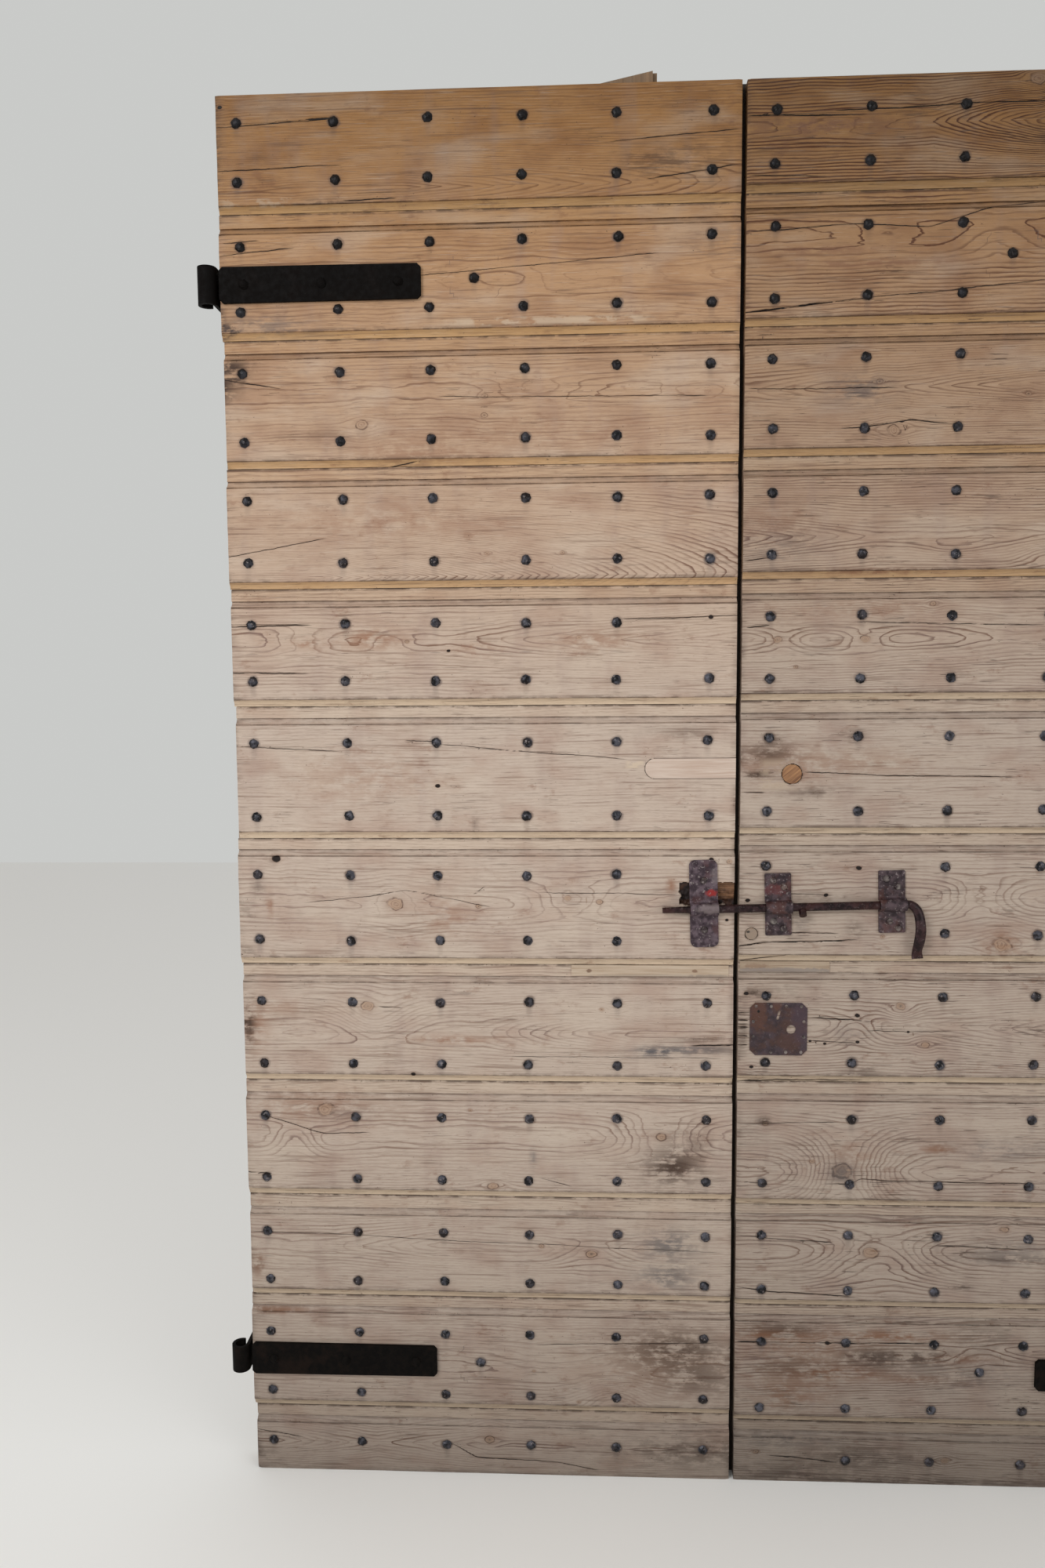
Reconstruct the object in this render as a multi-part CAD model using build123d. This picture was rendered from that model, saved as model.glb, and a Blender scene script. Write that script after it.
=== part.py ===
from build123d import *
from itertools import cycle
import math
import os
import random

# A barn door of two leaves, shut and bolted. X runs along its width, with 0 in the
# middle of the gap between the leaves. Z is up, with 0 at the foot of the leaves.
# The front faces -Y, and Y is 0 in the middle of the front boards. Sizes are in mm.

os.makedirs("parts", exist_ok=True)

# The leaves
LEAF_WIDTH = 754.0
LEAF_HEIGHT = 2100.0
MEETING_GAP = 7.5
FRONT_THICKNESS = 24.0
REAR_THICKNESS = 20.0

# Heights of the front boards from the top down, each from its cove to the next.
# A higher leaf goes through the list again. The lowest board takes what is left.
LEFT_BOARD_HEIGHTS = [183, 177, 184, 176, 175, 200, 196, 186, 186, 162, 185]
RIGHT_BOARD_HEIGHTS = [173, 181, 185, 177, 175, 198, 194, 189, 191, 163, 191]
LOWEST_BOARD = 60.0
# Heights of the bands at the top of each front board but the first
LEFT_BANDS = [18.5, 17.5, 17.5, 17.0, 17.0, 16.5, 18.0, 20.0, 21.0, 18.0, 17.5]
RIGHT_BANDS = [19.0, 16.5, 18.5, 20.0, 17.5, 16.5, 17.0, 19.0, 15.0, 15.5, 16.5]
# How far each front board's outer end stops short of the leaf's edge
LEFT_END_GAPS = [1, 0, 2, 0, 1, 3, 0, 2, 1, 2, 0, 3]
RIGHT_END_GAPS = [0, 0, 1, 0, 3, 1, 2, 0, 2, 1, 0, 2]

# The moulding of a front board. Its upper edge is a band, set back from the face,
# with a cove under it. Its lower edge is a rounded strip, and the lip under that
# laps over the tongue of the next board. A quirk runs beside the cove and the strip.
BAND_DEPTH = 5.0
COVE_DEPTH = 8.0
COVE_HEIGHT = 9.3
COVE_HOLLOW = 1.6
TONGUE_DEPTH = 10.0
TONGUE_HEIGHT = 10.0
TONGUE_CLEARANCE = 1.5
LAP_CLEARANCE = 0.3
LAP_GAP = 0.8
STRIP_HEIGHT = 9.0
STRIP_ROUND = 1.2
QUIRK_WIDTH = 2.0
QUIRK_DEPTH = 1.8

# The rear boards stand upright, tongued and grooved. The left leaf's last one
# reaches behind the right leaf, so that the two close against each other.
REAR_BOARD_WIDTH = 157.7
REAR_GAP = 1.2
REAR_TONGUE = 7.0
REAR_TONGUE_THICKNESS = 6.0
REAR_GROOVE_CLEARANCE = 0.5
REAR_CHAMFER = 2.0
MEETING_REACH = 14.0
MEETING_CLEARANCE = 4.0
# Tops of the rear boards above the leaf's top, from the outer edge
LEFT_REAR_TOPS = [-3, -6, -2, 26, 4]
RIGHT_REAR_TOPS = [-2, -5, -3, -6, -4]
# One rear board stands up over the left leaf, with a top that was sawn on a slant
TALL_BOARD_NUMBER = 4
TALL_SLANT = 31.5

# The nails' first and last columns, from the outer and from the meeting edge, and how
# far each column strays from even spacing. Their rows, from each board's top and foot.
LEFT_NAIL_EDGES = (31, 41)
RIGHT_NAIL_EDGES = (33, 40)
LEFT_NAIL_STRAYS = [0, 5.6, 4.2, 2.8, 1.4, 0]
RIGHT_NAIL_STRAYS = [0, 7.8, 6.6, 8.4, 4.2, 0]
LEFT_UPPER_ROWS = [40, 27, 29, 30, 36, 37, 39, 40, 37, 37, 41, 40]
LEFT_LOWER_ROWS = [61, 58, 56, 55, 55, 51, 56, 49, 50, 45, 44]
RIGHT_UPPER_ROWS = [42, 29, 29, 33, 34, 36, 31, 35, 37, 32, 43, 45]
RIGHT_LOWER_ROWS = [58, 55, 56, 54, 50, 52, 60, 49, 51, 44, 41]
# Nails that are gone, as board, row and column
LEFT_MISSING = [(5, "upper", 6), (7, "upper", 6), (7, "lower", 6)]
RIGHT_MISSING = [
    (7, "lower", 6),
    (7, "upper", 5),
    (7, "lower", 5),
    (9, "upper", 6),
    (12, "upper", 6),
]
# Nails that were added later, as board, distance from the outer edge and from its top
LEFT_ADDED = [(2, 372, 80), (11, 364, 87)]
RIGHT_ADDED = [(2, 382, 74), (11, 380, 85)]
NAIL_WANDER = 1.5
NAIL_TURN = 14.0
NAIL_HEAD_RADIUS = 8.0
NAIL_HEAD_TIP = 2.8
NAIL_HEAD_HEIGHT = 4.5
NAIL_HEAD_SIDES = 6
NAIL_SHANK = 4.0
NAIL_HOLE_RADIUS = 3.1
CLENCH_LENGTH = 11.0
CLENCH_THICKNESS = 3.5
# Holes that lost nails left, as board, distance from the meeting edge and from its top
LEFT_EMPTY_HOLES = [(5, 39, 30), (6, 446, 103), (7, 9, 18)]
RIGHT_EMPTY_HOLES = [(7, 177, 34), (9, 38, 27), (12, 35, 44)]
EMPTY_HOLE_RADIUS = 3.0
EMPTY_HOLE_DEPTH = 18.0

# The hinges: a plate on the face, and a band behind that is rolled into an eye
PLATE_LENGTH = 295.0
PLATE_OUTER_HEIGHT = 51.0
PLATE_INNER_HEIGHT = 49.0
PLATE_THICKNESS = 5.0
PLATE_CORNER = 5.0
BAND_EXTRA = 2.0
BAND_HEIGHT = 50.0
BAND_THICKNESS = 5.0
BAND_BEND = 4.0
# How far each hinge sits above the middle between its board's two rows of nails
LEFT_HINGE_RISES = {"upper": -9.0, "lower": 6.0}
RIGHT_HINGE_RISES = {"upper": -11.5, "lower": 9.5}
HINGE_NAIL_EDGE = 36.0
HINGE_NAIL_STRAY = 2.5
HINGE_NAIL_END = 33.0
EYE_BORE = 9.0
EYE_EDGE_GAP = 5.0
EYE_DEPTH = 2.0
EYE_ROLL = 285.0
EYE_HEIGHTS = {"upper": 54.0, "lower": 42.0}

# The bolt: its axis passes this point of the left guide, below the top of the board
# that carries it, and climbs to the right
BOLT_BOARD_NUMBER = 7
BOLT_X = 61.0
BOLT_DROP = 92.5
BOLT_TILT = 1.5
BAR_RADIUS = 6.2
BAR_TIP_RADIUS = 4.2
BAR_CLEARANCE = 0.5
BAR_OFF_FACE = 8.0
TIP_AT = -173.0
TIP_TAPER = 70.0
BEND_AT = 192.0
STRAP_THICKNESS = 3.0
LOOP_FILLET = 3.0
KEEP_AT = -110.5
KEEP_WIDTH = 42.0
KEEP_UP = 74.0
KEEP_DOWN = 58.5
KEEP_CORNER = 9.0
GUIDE_LEFT_AT = 0.0
GUIDE_RIGHT_AT = 168.0
GUIDE_WIDTH = 39.0
GUIDE_UP = 51.0
GUIDE_DOWN = 43.0
GUIDE_CORNER = 2.0
# Nails, rivets and screws of the straps, along the bolt and above its axis
KEEP_FIXINGS = [(0, 43), (0, -32)]
LEFT_GUIDE_FIXINGS = [(-7, 40.5), (9, 30.0), (-7, -21.5), (7, -32.5)]
RIGHT_GUIDE_FIXINGS = [(-8, 38.5), (8, 26.5), (-4, -25.0), (9, -36.0)]
FIXING_RADIUS = 5.4
FIXING_HEIGHT = 2.4
FIXING_TAPER = 32.0
FIXING_SHANK = 2.2
FIXING_CLEARANCE = 0.3
FIXING_LENGTH = 25.0
STOP_AT = 34.0
STOP_RADIUS = 5.5
STOP_SHANK = 2.5
STOP_CLEARANCE = 0.05
STOP_HOLE_DEPTH = 9.0
STOP_REACH = 14.5
STOP_LEAN = 40.0

# The handle's sections: along the bolt, down, out from its axis, and half its width
# and thickness there
HANDLE_SECTIONS = [
    (192.0, 0.0, 0.0, 6.2, 6.2),
    (199.0, 3.5, 1.0, 6.6, 6.0),
    (203.7, 11.0, 3.0, 7.0, 5.2),
    (205.8, 22.0, 6.0, 7.4, 4.4),
    (206.2, 34.0, 8.6, 7.8, 3.8),
    (205.2, 46.0, 9.5, 8.0, 3.4),
    (203.4, 58.0, 8.0, 7.8, 3.2),
    (202.2, 68.0, 4.0, 7.4, 3.0),
    (202.2, 75.5, 2.5, 8.0, 2.6),
    (202.4, 81.0, 4.5, 8.2, 2.2),
]

# The lock's cover plate. Its hole and its slit are placed from its left and its top.
COVER_BOARD_NUMBER = 8
COVER_LEFT = 21.0
COVER_DROP = 46.0
COVER_WIDTH = 86.0
COVER_HEIGHT = 81.0
COVER_THICKNESS = 1.6
COVER_CORNER = 8.0
COVER_HOLE_ACROSS = 62.0
COVER_HOLE_DOWN = 41.0
COVER_HOLE_RADIUS = 7.0
COVER_SLIT_ACROSS = 43.0
COVER_SLIT_DOWN = 19.0
COVER_SLIT_LENGTH = 15.0
COVER_SLIT_WIDTH = 4.0
COVER_SLIT_LEAN = 15.0
TACK_INSET = 5.0
TACK_ROW = 4
TACK_RADIUS = 2.4
TACK_HEIGHT = 0.9
TACK_SHANK = 1.6
TACK_HOLE_RADIUS = 1.3
TACK_LENGTH = 12.0

# Old damage and repairs. The mortise's top and foot are above the bolt's axis, and a
# drop is below the top of the board.
MORTISE_WIDTH = 82.25
MORTISE_TOP = 36.5
MORTISE_FOOT = 2.5
MORTISE_DEPTH = 9.0
MORTISE_SHALLOW = 3.0
CUT_OVERSHOOT = 1.0
REPAIR_FIT = 0.2
PATCH_BOARD_NUMBER = 6
PATCH_LENGTH = 134.25
PATCH_DROP = 78.0
PATCH_HEIGHT = 30.0
PATCH_DEPTH = 8.0
PLUG_DEPTH = 10.0
LARGE_PLUG_BOARD_NUMBER = 6
LARGE_PLUG_X = 79.0
LARGE_PLUG_DROP = 91.0
LARGE_PLUG_RADIUS = 14.5
SMALL_PLUG_BOARD_NUMBER = 7
SMALL_PLUG_X = 22.0
SMALL_PLUG_DROP = 134.0
SMALL_PLUG_RADIUS = 9.0
# A new strip of wood let into the band of one board, on each leaf
STRIP_BOARD_NUMBER = 8
LEFT_STRIP_START = -249.0
LEFT_STRIP_END = -11.0
RIGHT_STRIP_START = 6.0
RIGHT_STRIP_END = 140.0
STRIP_POCKET = 14.0
STRIP_PROUD = 1.5
STRIP_GAP = 1.0
STRIP_END_GAP = 3.5

HALF_GAP = MEETING_GAP / 2
HALF_WIDTH = HALF_GAP + LEAF_WIDTH
FACE_Y = -FRONT_THICKNESS / 2
REAR_Y = FACE_Y + FRONT_THICKNESS
BACK_Y = REAR_Y + REAR_THICKNESS
REAR_BOARD_COUNT = round(HALF_WIDTH / REAR_BOARD_WIDTH)
BAND_LENGTH = PLATE_LENGTH + BAND_EXTRA
LEFT = -1
RIGHT = 1
SAME_PLACE = 1e-6
HAND_SEED = 12
by_eye = random.Random(HAND_SEED)


def save(name, shape):
    shape.label = name
    export_step(shape, f"parts/{name}.step")


def leaf_x(side, inset):
    """A place at some distance in from the outer edge of a leaf."""
    return side * (HALF_WIDTH - inset)


def own(values, number):
    """A board's own value, from a list that starts again where it runs out."""
    return values[(number - 1) % len(values)]


def on_side(side, shape):
    """Turns what was made for the left leaf into what the right one has."""
    return mirror(shape, about=Plane.YZ) if side == RIGHT else shape


def joint_lines(heights):
    """The heights of the coves above the foot, from the leaf's top down to its foot."""
    lines = [LEAF_HEIGHT]
    for height in cycle(heights):
        if lines[-1] - height < LOWEST_BOARD:
            return lines + [0]
        lines.append(lines[-1] - height)


def board_top(heights, number):
    return joint_lines(heights)[number - 1]


def outline_face(items):
    """Joins points and curves, given in order, into one closed face."""
    edges = []
    first = last = None
    for item in items:
        start = item @ 0 if isinstance(item, Edge) else Vector(*item)
        if last is not None and (start - last).length > SAME_PLACE:
            edges.append(Line(last, start))
        first = first or start
        if isinstance(item, Edge):
            edges.append(item)
        last = item @ 1 if isinstance(item, Edge) else start
    edges.append(Line(last, first))
    return Face(Wire(edges))


# Front boards


def quirk(top):
    """A small groove in the face, below a height."""
    return [(0, top), (QUIRK_DEPTH, top - QUIRK_WIDTH / 2), (0, top - QUIRK_WIDTH)]


def board_section(top, band, foot, band_below):
    """The section of a front board, as depth behind its face and height."""
    if band_below is None:
        lower_edge = [(0, foot), (FRONT_THICKNESS, foot)]
    else:
        lip = foot + band_below + LAP_GAP
        lip_back = TONGUE_DEPTH - LAP_CLEARANCE
        shoulder = foot + band_below + TONGUE_HEIGHT + TONGUE_CLEARANCE
        lower_edge = [
            *quirk(lip + STRIP_HEIGHT + QUIRK_WIDTH),
            SagittaArc((0, lip + STRIP_HEIGHT), (BAND_DEPTH, lip), -STRIP_ROUND),
            (lip_back, lip),
            (lip_back, shoulder),
            (FRONT_THICKNESS, shoulder),
        ]
    if band is None:
        upper_edge = [(FRONT_THICKNESS, top), (0, top)]
    else:
        ledge = top + band
        upper_edge = [
            (FRONT_THICKNESS, ledge + TONGUE_HEIGHT),
            (TONGUE_DEPTH, ledge + TONGUE_HEIGHT),
            (TONGUE_DEPTH, ledge),
            (BAND_DEPTH, ledge),
            (BAND_DEPTH, top),
            SagittaArc((COVE_DEPTH, top), (0, top - COVE_HEIGHT), -COVE_HOLLOW),
            *quirk(top - COVE_HEIGHT),
        ]
    return outline_face(lower_edge + upper_edge)


def mortise():
    """The broken hollow behind the keep, deepest at its foot."""
    section = [
        (-CUT_OVERSHOOT, MORTISE_FOOT),
        (MORTISE_DEPTH, MORTISE_FOOT),
        (MORTISE_SHALLOW, MORTISE_TOP),
        (-CUT_OVERSHOOT, MORTISE_TOP),
    ]
    return Pos(-HALF_GAP - MORTISE_WIDTH, FACE_Y, BOLT_Z) * extrude(
        Plane.YZ * outline_face(section), amount=MORTISE_WIDTH, dir=(1, 0, 0)
    )


def patch(fit):
    """The wood patch at the meeting edge, with its round end, and where the fit is 0 the
    pocket that it was let into."""
    radius = PATCH_HEIGHT / 2
    length = PATCH_LENGTH - radius
    shape = Pos(-length / 2, 0) * Rectangle(length, PATCH_HEIGHT - 2 * fit)
    shape += Pos(-length, 0) * Circle(radius - fit)
    height = board_top(LEFT_BOARD_HEIGHTS, PATCH_BOARD_NUMBER) - PATCH_DROP
    return Pos(-HALF_GAP, FACE_Y, height) * extrude(Plane.XZ * shape, amount=-PATCH_DEPTH)


def plug(number, x, drop, radius):
    """A round wood plug in a board of the right leaf, or the pocket that it fills."""
    height = board_top(RIGHT_BOARD_HEIGHTS, number) - drop
    return Pos(x, FACE_Y, height) * extrude(Plane.XZ * Circle(radius), amount=-PLUG_DEPTH)


def large_plug(fit):
    return plug(LARGE_PLUG_BOARD_NUMBER, LARGE_PLUG_X, LARGE_PLUG_DROP, LARGE_PLUG_RADIUS - fit)


def small_plug(fit):
    return plug(SMALL_PLUG_BOARD_NUMBER, SMALL_PLUG_X, SMALL_PLUG_DROP, SMALL_PLUG_RADIUS - fit)


def band_block(start, end, front, back, foot, top):
    """A block in a board's band, between two depths behind the face."""
    size = (end - start, back - front, top - foot)
    return Pos(start, FACE_Y + front, foot) * Box(*size, align=Align.MIN)


def empty_hole(side, top, from_edge, drop):
    """The hole that a lost nail left, at some distance from the meeting edge."""
    hole = extrude(Plane.XZ * Circle(EMPTY_HOLE_RADIUS), amount=-EMPTY_HOLE_DEPTH)
    return Pos(side * (HALF_GAP + from_edge), FACE_Y, top - drop) * hole


def front_boards(name, side, heights, bands, end_gaps, empty_holes, repairs):
    """The profiled boards of a leaf, with what was cut out of each."""
    lines = joint_lines(heights)
    lowest = len(lines) - 1
    for number in range(1, lowest + 1):
        top, foot = lines[number - 1], lines[number]
        band = None if number == 1 else own(bands, number - 1)
        band_below = None if number == lowest else own(bands, number)
        section = board_section(top, band, foot, band_below)
        end_gap = own(end_gaps, number)
        board = extrude(Plane.YZ * section, amount=LEAF_WIDTH - end_gap, dir=(1, 0, 0))
        start = HALF_GAP if side == RIGHT else leaf_x(LEFT, end_gap)
        board = Pos(start, FACE_Y, 0) * board
        for board_number, from_edge, drop in empty_holes:
            if board_number == number:
                board -= empty_hole(side, top, from_edge, drop)
        for board_number, pocket in repairs:
            if board_number == number:
                board -= pocket
        save(f"{name}_front_board_{number:02d}", board)


# Rear boards


def rear_plan(start, end, has_groove, has_tongue):
    """The plan of an upright rear board, between two distances from the outer edge."""
    middle = REAR_THICKNESS / 2
    groove = REAR_TONGUE_THICKNESS / 2 + REAR_GROOVE_CLEARANCE
    groove_end = start + REAR_TONGUE
    tongue = REAR_TONGUE_THICKNESS / 2
    tongue_end = end + REAR_TONGUE - REAR_GROOVE_CLEARANCE
    points = [(start, 0)]
    if has_groove:
        points += [
            (start, middle - groove),
            (groove_end, middle - groove),
            (groove_end, middle + groove),
            (start, middle + groove),
        ]
    points += [(start, REAR_THICKNESS - REAR_CHAMFER), (start + REAR_CHAMFER, REAR_THICKNESS)]
    points += [(end - REAR_CHAMFER, REAR_THICKNESS), (end, REAR_THICKNESS - REAR_CHAMFER)]
    if has_tongue:
        points += [
            (end, middle + tongue),
            (tongue_end, middle + tongue),
            (tongue_end, middle - tongue),
            (end, middle - tongue),
        ]
    points.append((end, 0))
    return outline_face(points)


def rear_boards(name, side, tops, reach):
    """The upright boards behind a leaf, out to where it meets the other leaf."""
    for number in range(1, REAR_BOARD_COUNT + 1):
        top = own(tops, number)
        is_last = number == REAR_BOARD_COUNT
        start = (number - 1) * REAR_BOARD_WIDTH
        end = reach if is_last else start + REAR_BOARD_WIDTH - REAR_GAP
        plan = rear_plan(start, end, number > 1, not is_last)
        board = extrude(plan, amount=LEAF_HEIGHT + top, dir=(0, 0, 1))
        board = Pos(-HALF_WIDTH, REAR_Y, 0) * board
        if side == LEFT and number == TALL_BOARD_NUMBER:
            slant = Plane(
                origin=(end - HALF_WIDTH, 0, LEAF_HEIGHT + top),
                z_dir=(-TALL_SLANT, 0, REAR_BOARD_WIDTH),
            )
            board = split(board, bisect_by=slant, keep=Keep.BOTTOM)
        save(f"{name}_rear_board_{number}", on_side(side, board))


# Nails


def nail(length):
    """A forged nail: a faceted head on the face, a square shank, and its tip bent over."""
    base = Plane.XZ * RegularPolygon(NAIL_HEAD_RADIUS, NAIL_HEAD_SIDES)
    tip = Plane.XZ.offset(NAIL_HEAD_HEIGHT) * RegularPolygon(NAIL_HEAD_TIP, NAIL_HEAD_SIDES)
    shank = Pos(0, length / 2, 0) * Box(NAIL_SHANK, length, NAIL_SHANK)
    half = NAIL_SHANK / 2
    clench = outline_face(
        [(-half, length), (half + CLENCH_LENGTH, length), (-half, length + CLENCH_THICKNESS)]
    )
    return loft([base, tip]) + shank + extrude(clench, amount=half, both=True, dir=(0, 0, 1))


def nail_columns(edges, strays):
    """The distances of the nails' columns from the leaf's outer edge."""
    outer, meeting = edges
    pitch = (LEAF_WIDTH - outer - meeting) / (len(strays) - 1)
    return [outer + pitch * i + stray for i, stray in enumerate(strays)]


def nail_rows(heights, number, upper_rows, lower_rows):
    """The heights of a board's two rows of nails. The lowest board has one row."""
    lines = joint_lines(heights)
    rows = {"upper": lines[number - 1] - own(upper_rows, number)}
    if number < len(lines) - 1:
        rows["lower"] = lines[number] + own(lower_rows, number)
    return rows


def nail_places(side, heights, edges, strays, upper_rows, lower_rows, missing, added):
    """Where the nails of a leaf are, as X and Z."""
    lines = joint_lines(heights)
    places = []
    for number in range(1, len(lines)):
        rows = nail_rows(heights, number, upper_rows, lower_rows)
        for row, height in rows.items():
            for column, inset in enumerate(nail_columns(edges, strays), start=1):
                if (number, row, column) not in missing:
                    places.append((leaf_x(side, inset), height))
    for number, inset, drop in added:
        if number < len(lines):
            places.append((leaf_x(side, inset), lines[number - 1] - drop))
    return places


def leaf_nails(name, side, *layout):
    """The nails of a leaf, driven by eye, so that each strays and turns a little."""
    driven = nail(FRONT_THICKNESS + REAR_THICKNESS)
    nails = []
    for x, z in nail_places(side, *layout):
        x += by_eye.uniform(-NAIL_WANDER, NAIL_WANDER)
        z += by_eye.uniform(-NAIL_WANDER, NAIL_WANDER)
        turn = by_eye.uniform(-NAIL_TURN, NAIL_TURN)
        nails.append(Pos(x, FACE_Y, z) * Rot(0, turn, 0) * driven)
    save(f"{name}_nails", Compound(nails))


# Hinges


def hinge_nail_insets():
    """The distances of a hinge's three nails from the leaf's outer edge."""
    return [HINGE_NAIL_EDGE, PLATE_LENGTH / 2 + HINGE_NAIL_STRAY, PLATE_LENGTH - HINGE_NAIL_END]


def hinge_heights(heights, upper_rows, lower_rows, rises):
    """A leaf's hinges are on its second board and on its last but one."""
    last = len(joint_lines(heights)) - 1
    found = {}
    for place, number in (("upper", 2), ("lower", last - 1)):
        rows = nail_rows(heights, number, upper_rows, lower_rows)
        found[place] = (rows["upper"] + rows["lower"]) / 2 + rises[place]
    return found


def nail_holes(depth, front):
    """Holes for the nails of a hinge, through iron that starts at some depth."""
    hole = extrude(Plane.XZ * Circle(NAIL_HOLE_RADIUS), amount=-depth)
    return [Pos(leaf_x(LEFT, inset), front, 0) * hole for inset in hinge_nail_insets()]


def hinge_plate():
    """The plate on the face: flat iron, a little higher at its outer end."""
    outer, inner = PLATE_OUTER_HEIGHT / 2, PLATE_INNER_HEIGHT / 2
    outline = Polygon(
        (0, -outer), (PLATE_LENGTH, -inner), (PLATE_LENGTH, inner), (0, outer), align=None
    )
    outline = chamfer(outline.vertices(), PLATE_CORNER)
    plate = extrude(Plane.XZ * outline, amount=PLATE_THICKNESS)
    plate = Pos(leaf_x(LEFT, 0), FACE_Y, 0) * plate
    return plate - nail_holes(PLATE_THICKNESS, FACE_Y - PLATE_THICKNESS)


def hinge_band(eye_height):
    """The band behind: it comes round the leaf's edge and rolls forward into an eye."""
    edge = leaf_x(LEFT, 0)
    outer_radius = EYE_BORE + BAND_THICKNESS
    leg_x = edge - EYE_EDGE_GAP
    eye = (leg_x - outer_radius, FACE_Y + EYE_DEPTH)
    bend = (leg_x + BAND_BEND, BACK_Y - BAND_BEND)
    hook = outline_face(
        [
            CenterArc(bend, BAND_BEND, 90, 90),
            CenterArc(eye, outer_radius, 0, -EYE_ROLL),
            CenterArc(eye, EYE_BORE, -EYE_ROLL, EYE_ROLL),
            CenterArc(bend, BAND_BEND + BAND_THICKNESS, 180, -90),
        ]
    )
    hook = extrude(hook, amount=eye_height / 2, both=True, dir=(0, 0, 1))
    length = BAND_LENGTH - BAND_BEND
    strap = Pos(bend[0], BACK_Y, 0) * Box(
        length, BAND_THICKNESS, BAND_HEIGHT, align=(Align.MIN, Align.MIN, Align.CENTER)
    )
    return hook + strap - nail_holes(BAND_THICKNESS, BACK_Y)


def hinges(name, side, heights):
    """The plates, bands and nails of a leaf's two hinges."""
    length = PLATE_THICKNESS + FRONT_THICKNESS + REAR_THICKNESS + BAND_THICKNESS
    driven = nail(length)
    nails = []
    for place, height in heights.items():
        save(f"{name}_{place}_hinge_plate", Pos(0, 0, height) * on_side(side, hinge_plate()))
        band = hinge_band(EYE_HEIGHTS[place])
        save(f"{name}_{place}_hinge_band", Pos(0, 0, height) * on_side(side, band))
        for inset in hinge_nail_insets():
            nails.append(Pos(leaf_x(side, inset), FACE_Y - PLATE_THICKNESS, height) * driven)
    save(f"{name}_hinge_nails", Compound(nails))


# Bolt


BOLT_Z = board_top(RIGHT_BOARD_HEIGHTS, BOLT_BOARD_NUMBER) - BOLT_DROP
BOLT_FRAME = Location((BOLT_X, FACE_Y - BAR_OFF_FACE, BOLT_Z), (0, -BOLT_TILT, 0))


def strap(width, up, down, corner, fixings):
    """An iron strap bent over the bar: two feet on the wood and a half-round loop."""
    inner = BAR_RADIUS + BAR_CLEARANCE
    outer = inner + STRAP_THICKNESS
    foot_front = BAR_OFF_FACE - STRAP_THICKNESS
    feet = Pos(foot_front + STRAP_THICKNESS / 2, (up - down) / 2) * Rectangle(
        STRAP_THICKNESS, up + down
    )
    loops = []
    for radius in (outer, inner):
        front_half = Circle(radius) & Pos(-radius, 0) * Rectangle(2 * radius, 2 * radius)
        side_walls = Pos(BAR_OFF_FACE / 2, 0) * Rectangle(BAR_OFF_FACE, 2 * radius)
        loops.append(front_half + side_walls)
    section = feet + loops[0] - loops[1]
    near_loop = section.vertices().filter_by_position(Axis.Y, -outer - SAME_PLACE, outer + SAME_PLACE)
    roots = near_loop.filter_by(lambda v: abs(v.X - foot_front) < SAME_PLACE)
    section = fillet(roots, LOOP_FILLET)
    shape = extrude(Plane.YZ * section, amount=width / 2, both=True)
    ends = shape.edges().filter_by(Axis.Y).filter_by(lambda e: abs(e.center().Z) > outer + LOOP_FILLET)
    shape = fillet(ends, corner)
    for along, height in fixings:
        hole = Circle(FIXING_SHANK + FIXING_CLEARANCE)
        shape -= Pos(along, 0, height) * extrude(Plane.XZ * hole, amount=-BAR_OFF_FACE)
    return shape


def fixing():
    """A rivet or screw: a low round head, and a shank that is driven into the wood."""
    head = extrude(Plane.XZ * Circle(FIXING_RADIUS), amount=FIXING_HEIGHT, taper=FIXING_TAPER)
    shank = extrude(Plane.XZ * Circle(FIXING_SHANK), amount=-FIXING_LENGTH)
    return Pos(0, BAR_OFF_FACE - STRAP_THICKNESS, 0) * (head + shank)


def stop_pin(radius, start, end):
    """A round pin that leans forward from under the bar's axis."""
    lean = math.radians(STOP_LEAN)
    out = Vector(0, -math.sin(lean), -math.cos(lean))
    plane = Plane(origin=Vector(STOP_AT, 0, 0) + out * start, z_dir=out)
    return extrude(plane * Circle(radius), amount=end - start)


def bolt_handle():
    """The bar's end, bent down and drawn out flat, bowed away from the door."""
    centres = [Vector(along, -out, -down) for along, down, out, _, _ in HANDLE_SECTIONS]
    faces = []
    for i, (_, _, _, half_width, half_thickness) in enumerate(HANDLE_SECTIONS):
        ahead = centres[min(i + 1, len(centres) - 1)] - centres[max(i - 1, 0)]
        if i == 0:
            ahead = Vector(1, 0, 0)
        across = ahead.cross(Vector(0, 1, 0)).normalized()
        plane = Plane(origin=centres[i], x_dir=across, z_dir=ahead)
        faces.append(plane * Ellipse(half_width, half_thickness))
    return loft(faces)


def bolt_bar():
    """The bar: a blunt tapered tip, a round shaft, and the handle."""
    tip = Plane.YZ.offset(TIP_AT) * Circle(BAR_TIP_RADIUS)
    full = Plane.YZ.offset(TIP_AT + TIP_TAPER) * Circle(BAR_RADIUS)
    length = BEND_AT - TIP_AT - TIP_TAPER
    bar = loft([tip, full]) + extrude(full, amount=length) + bolt_handle()
    return bar - stop_pin(STOP_SHANK + STOP_CLEARANCE, BAR_RADIUS - STOP_HOLE_DEPTH, BAR_RADIUS)


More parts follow.
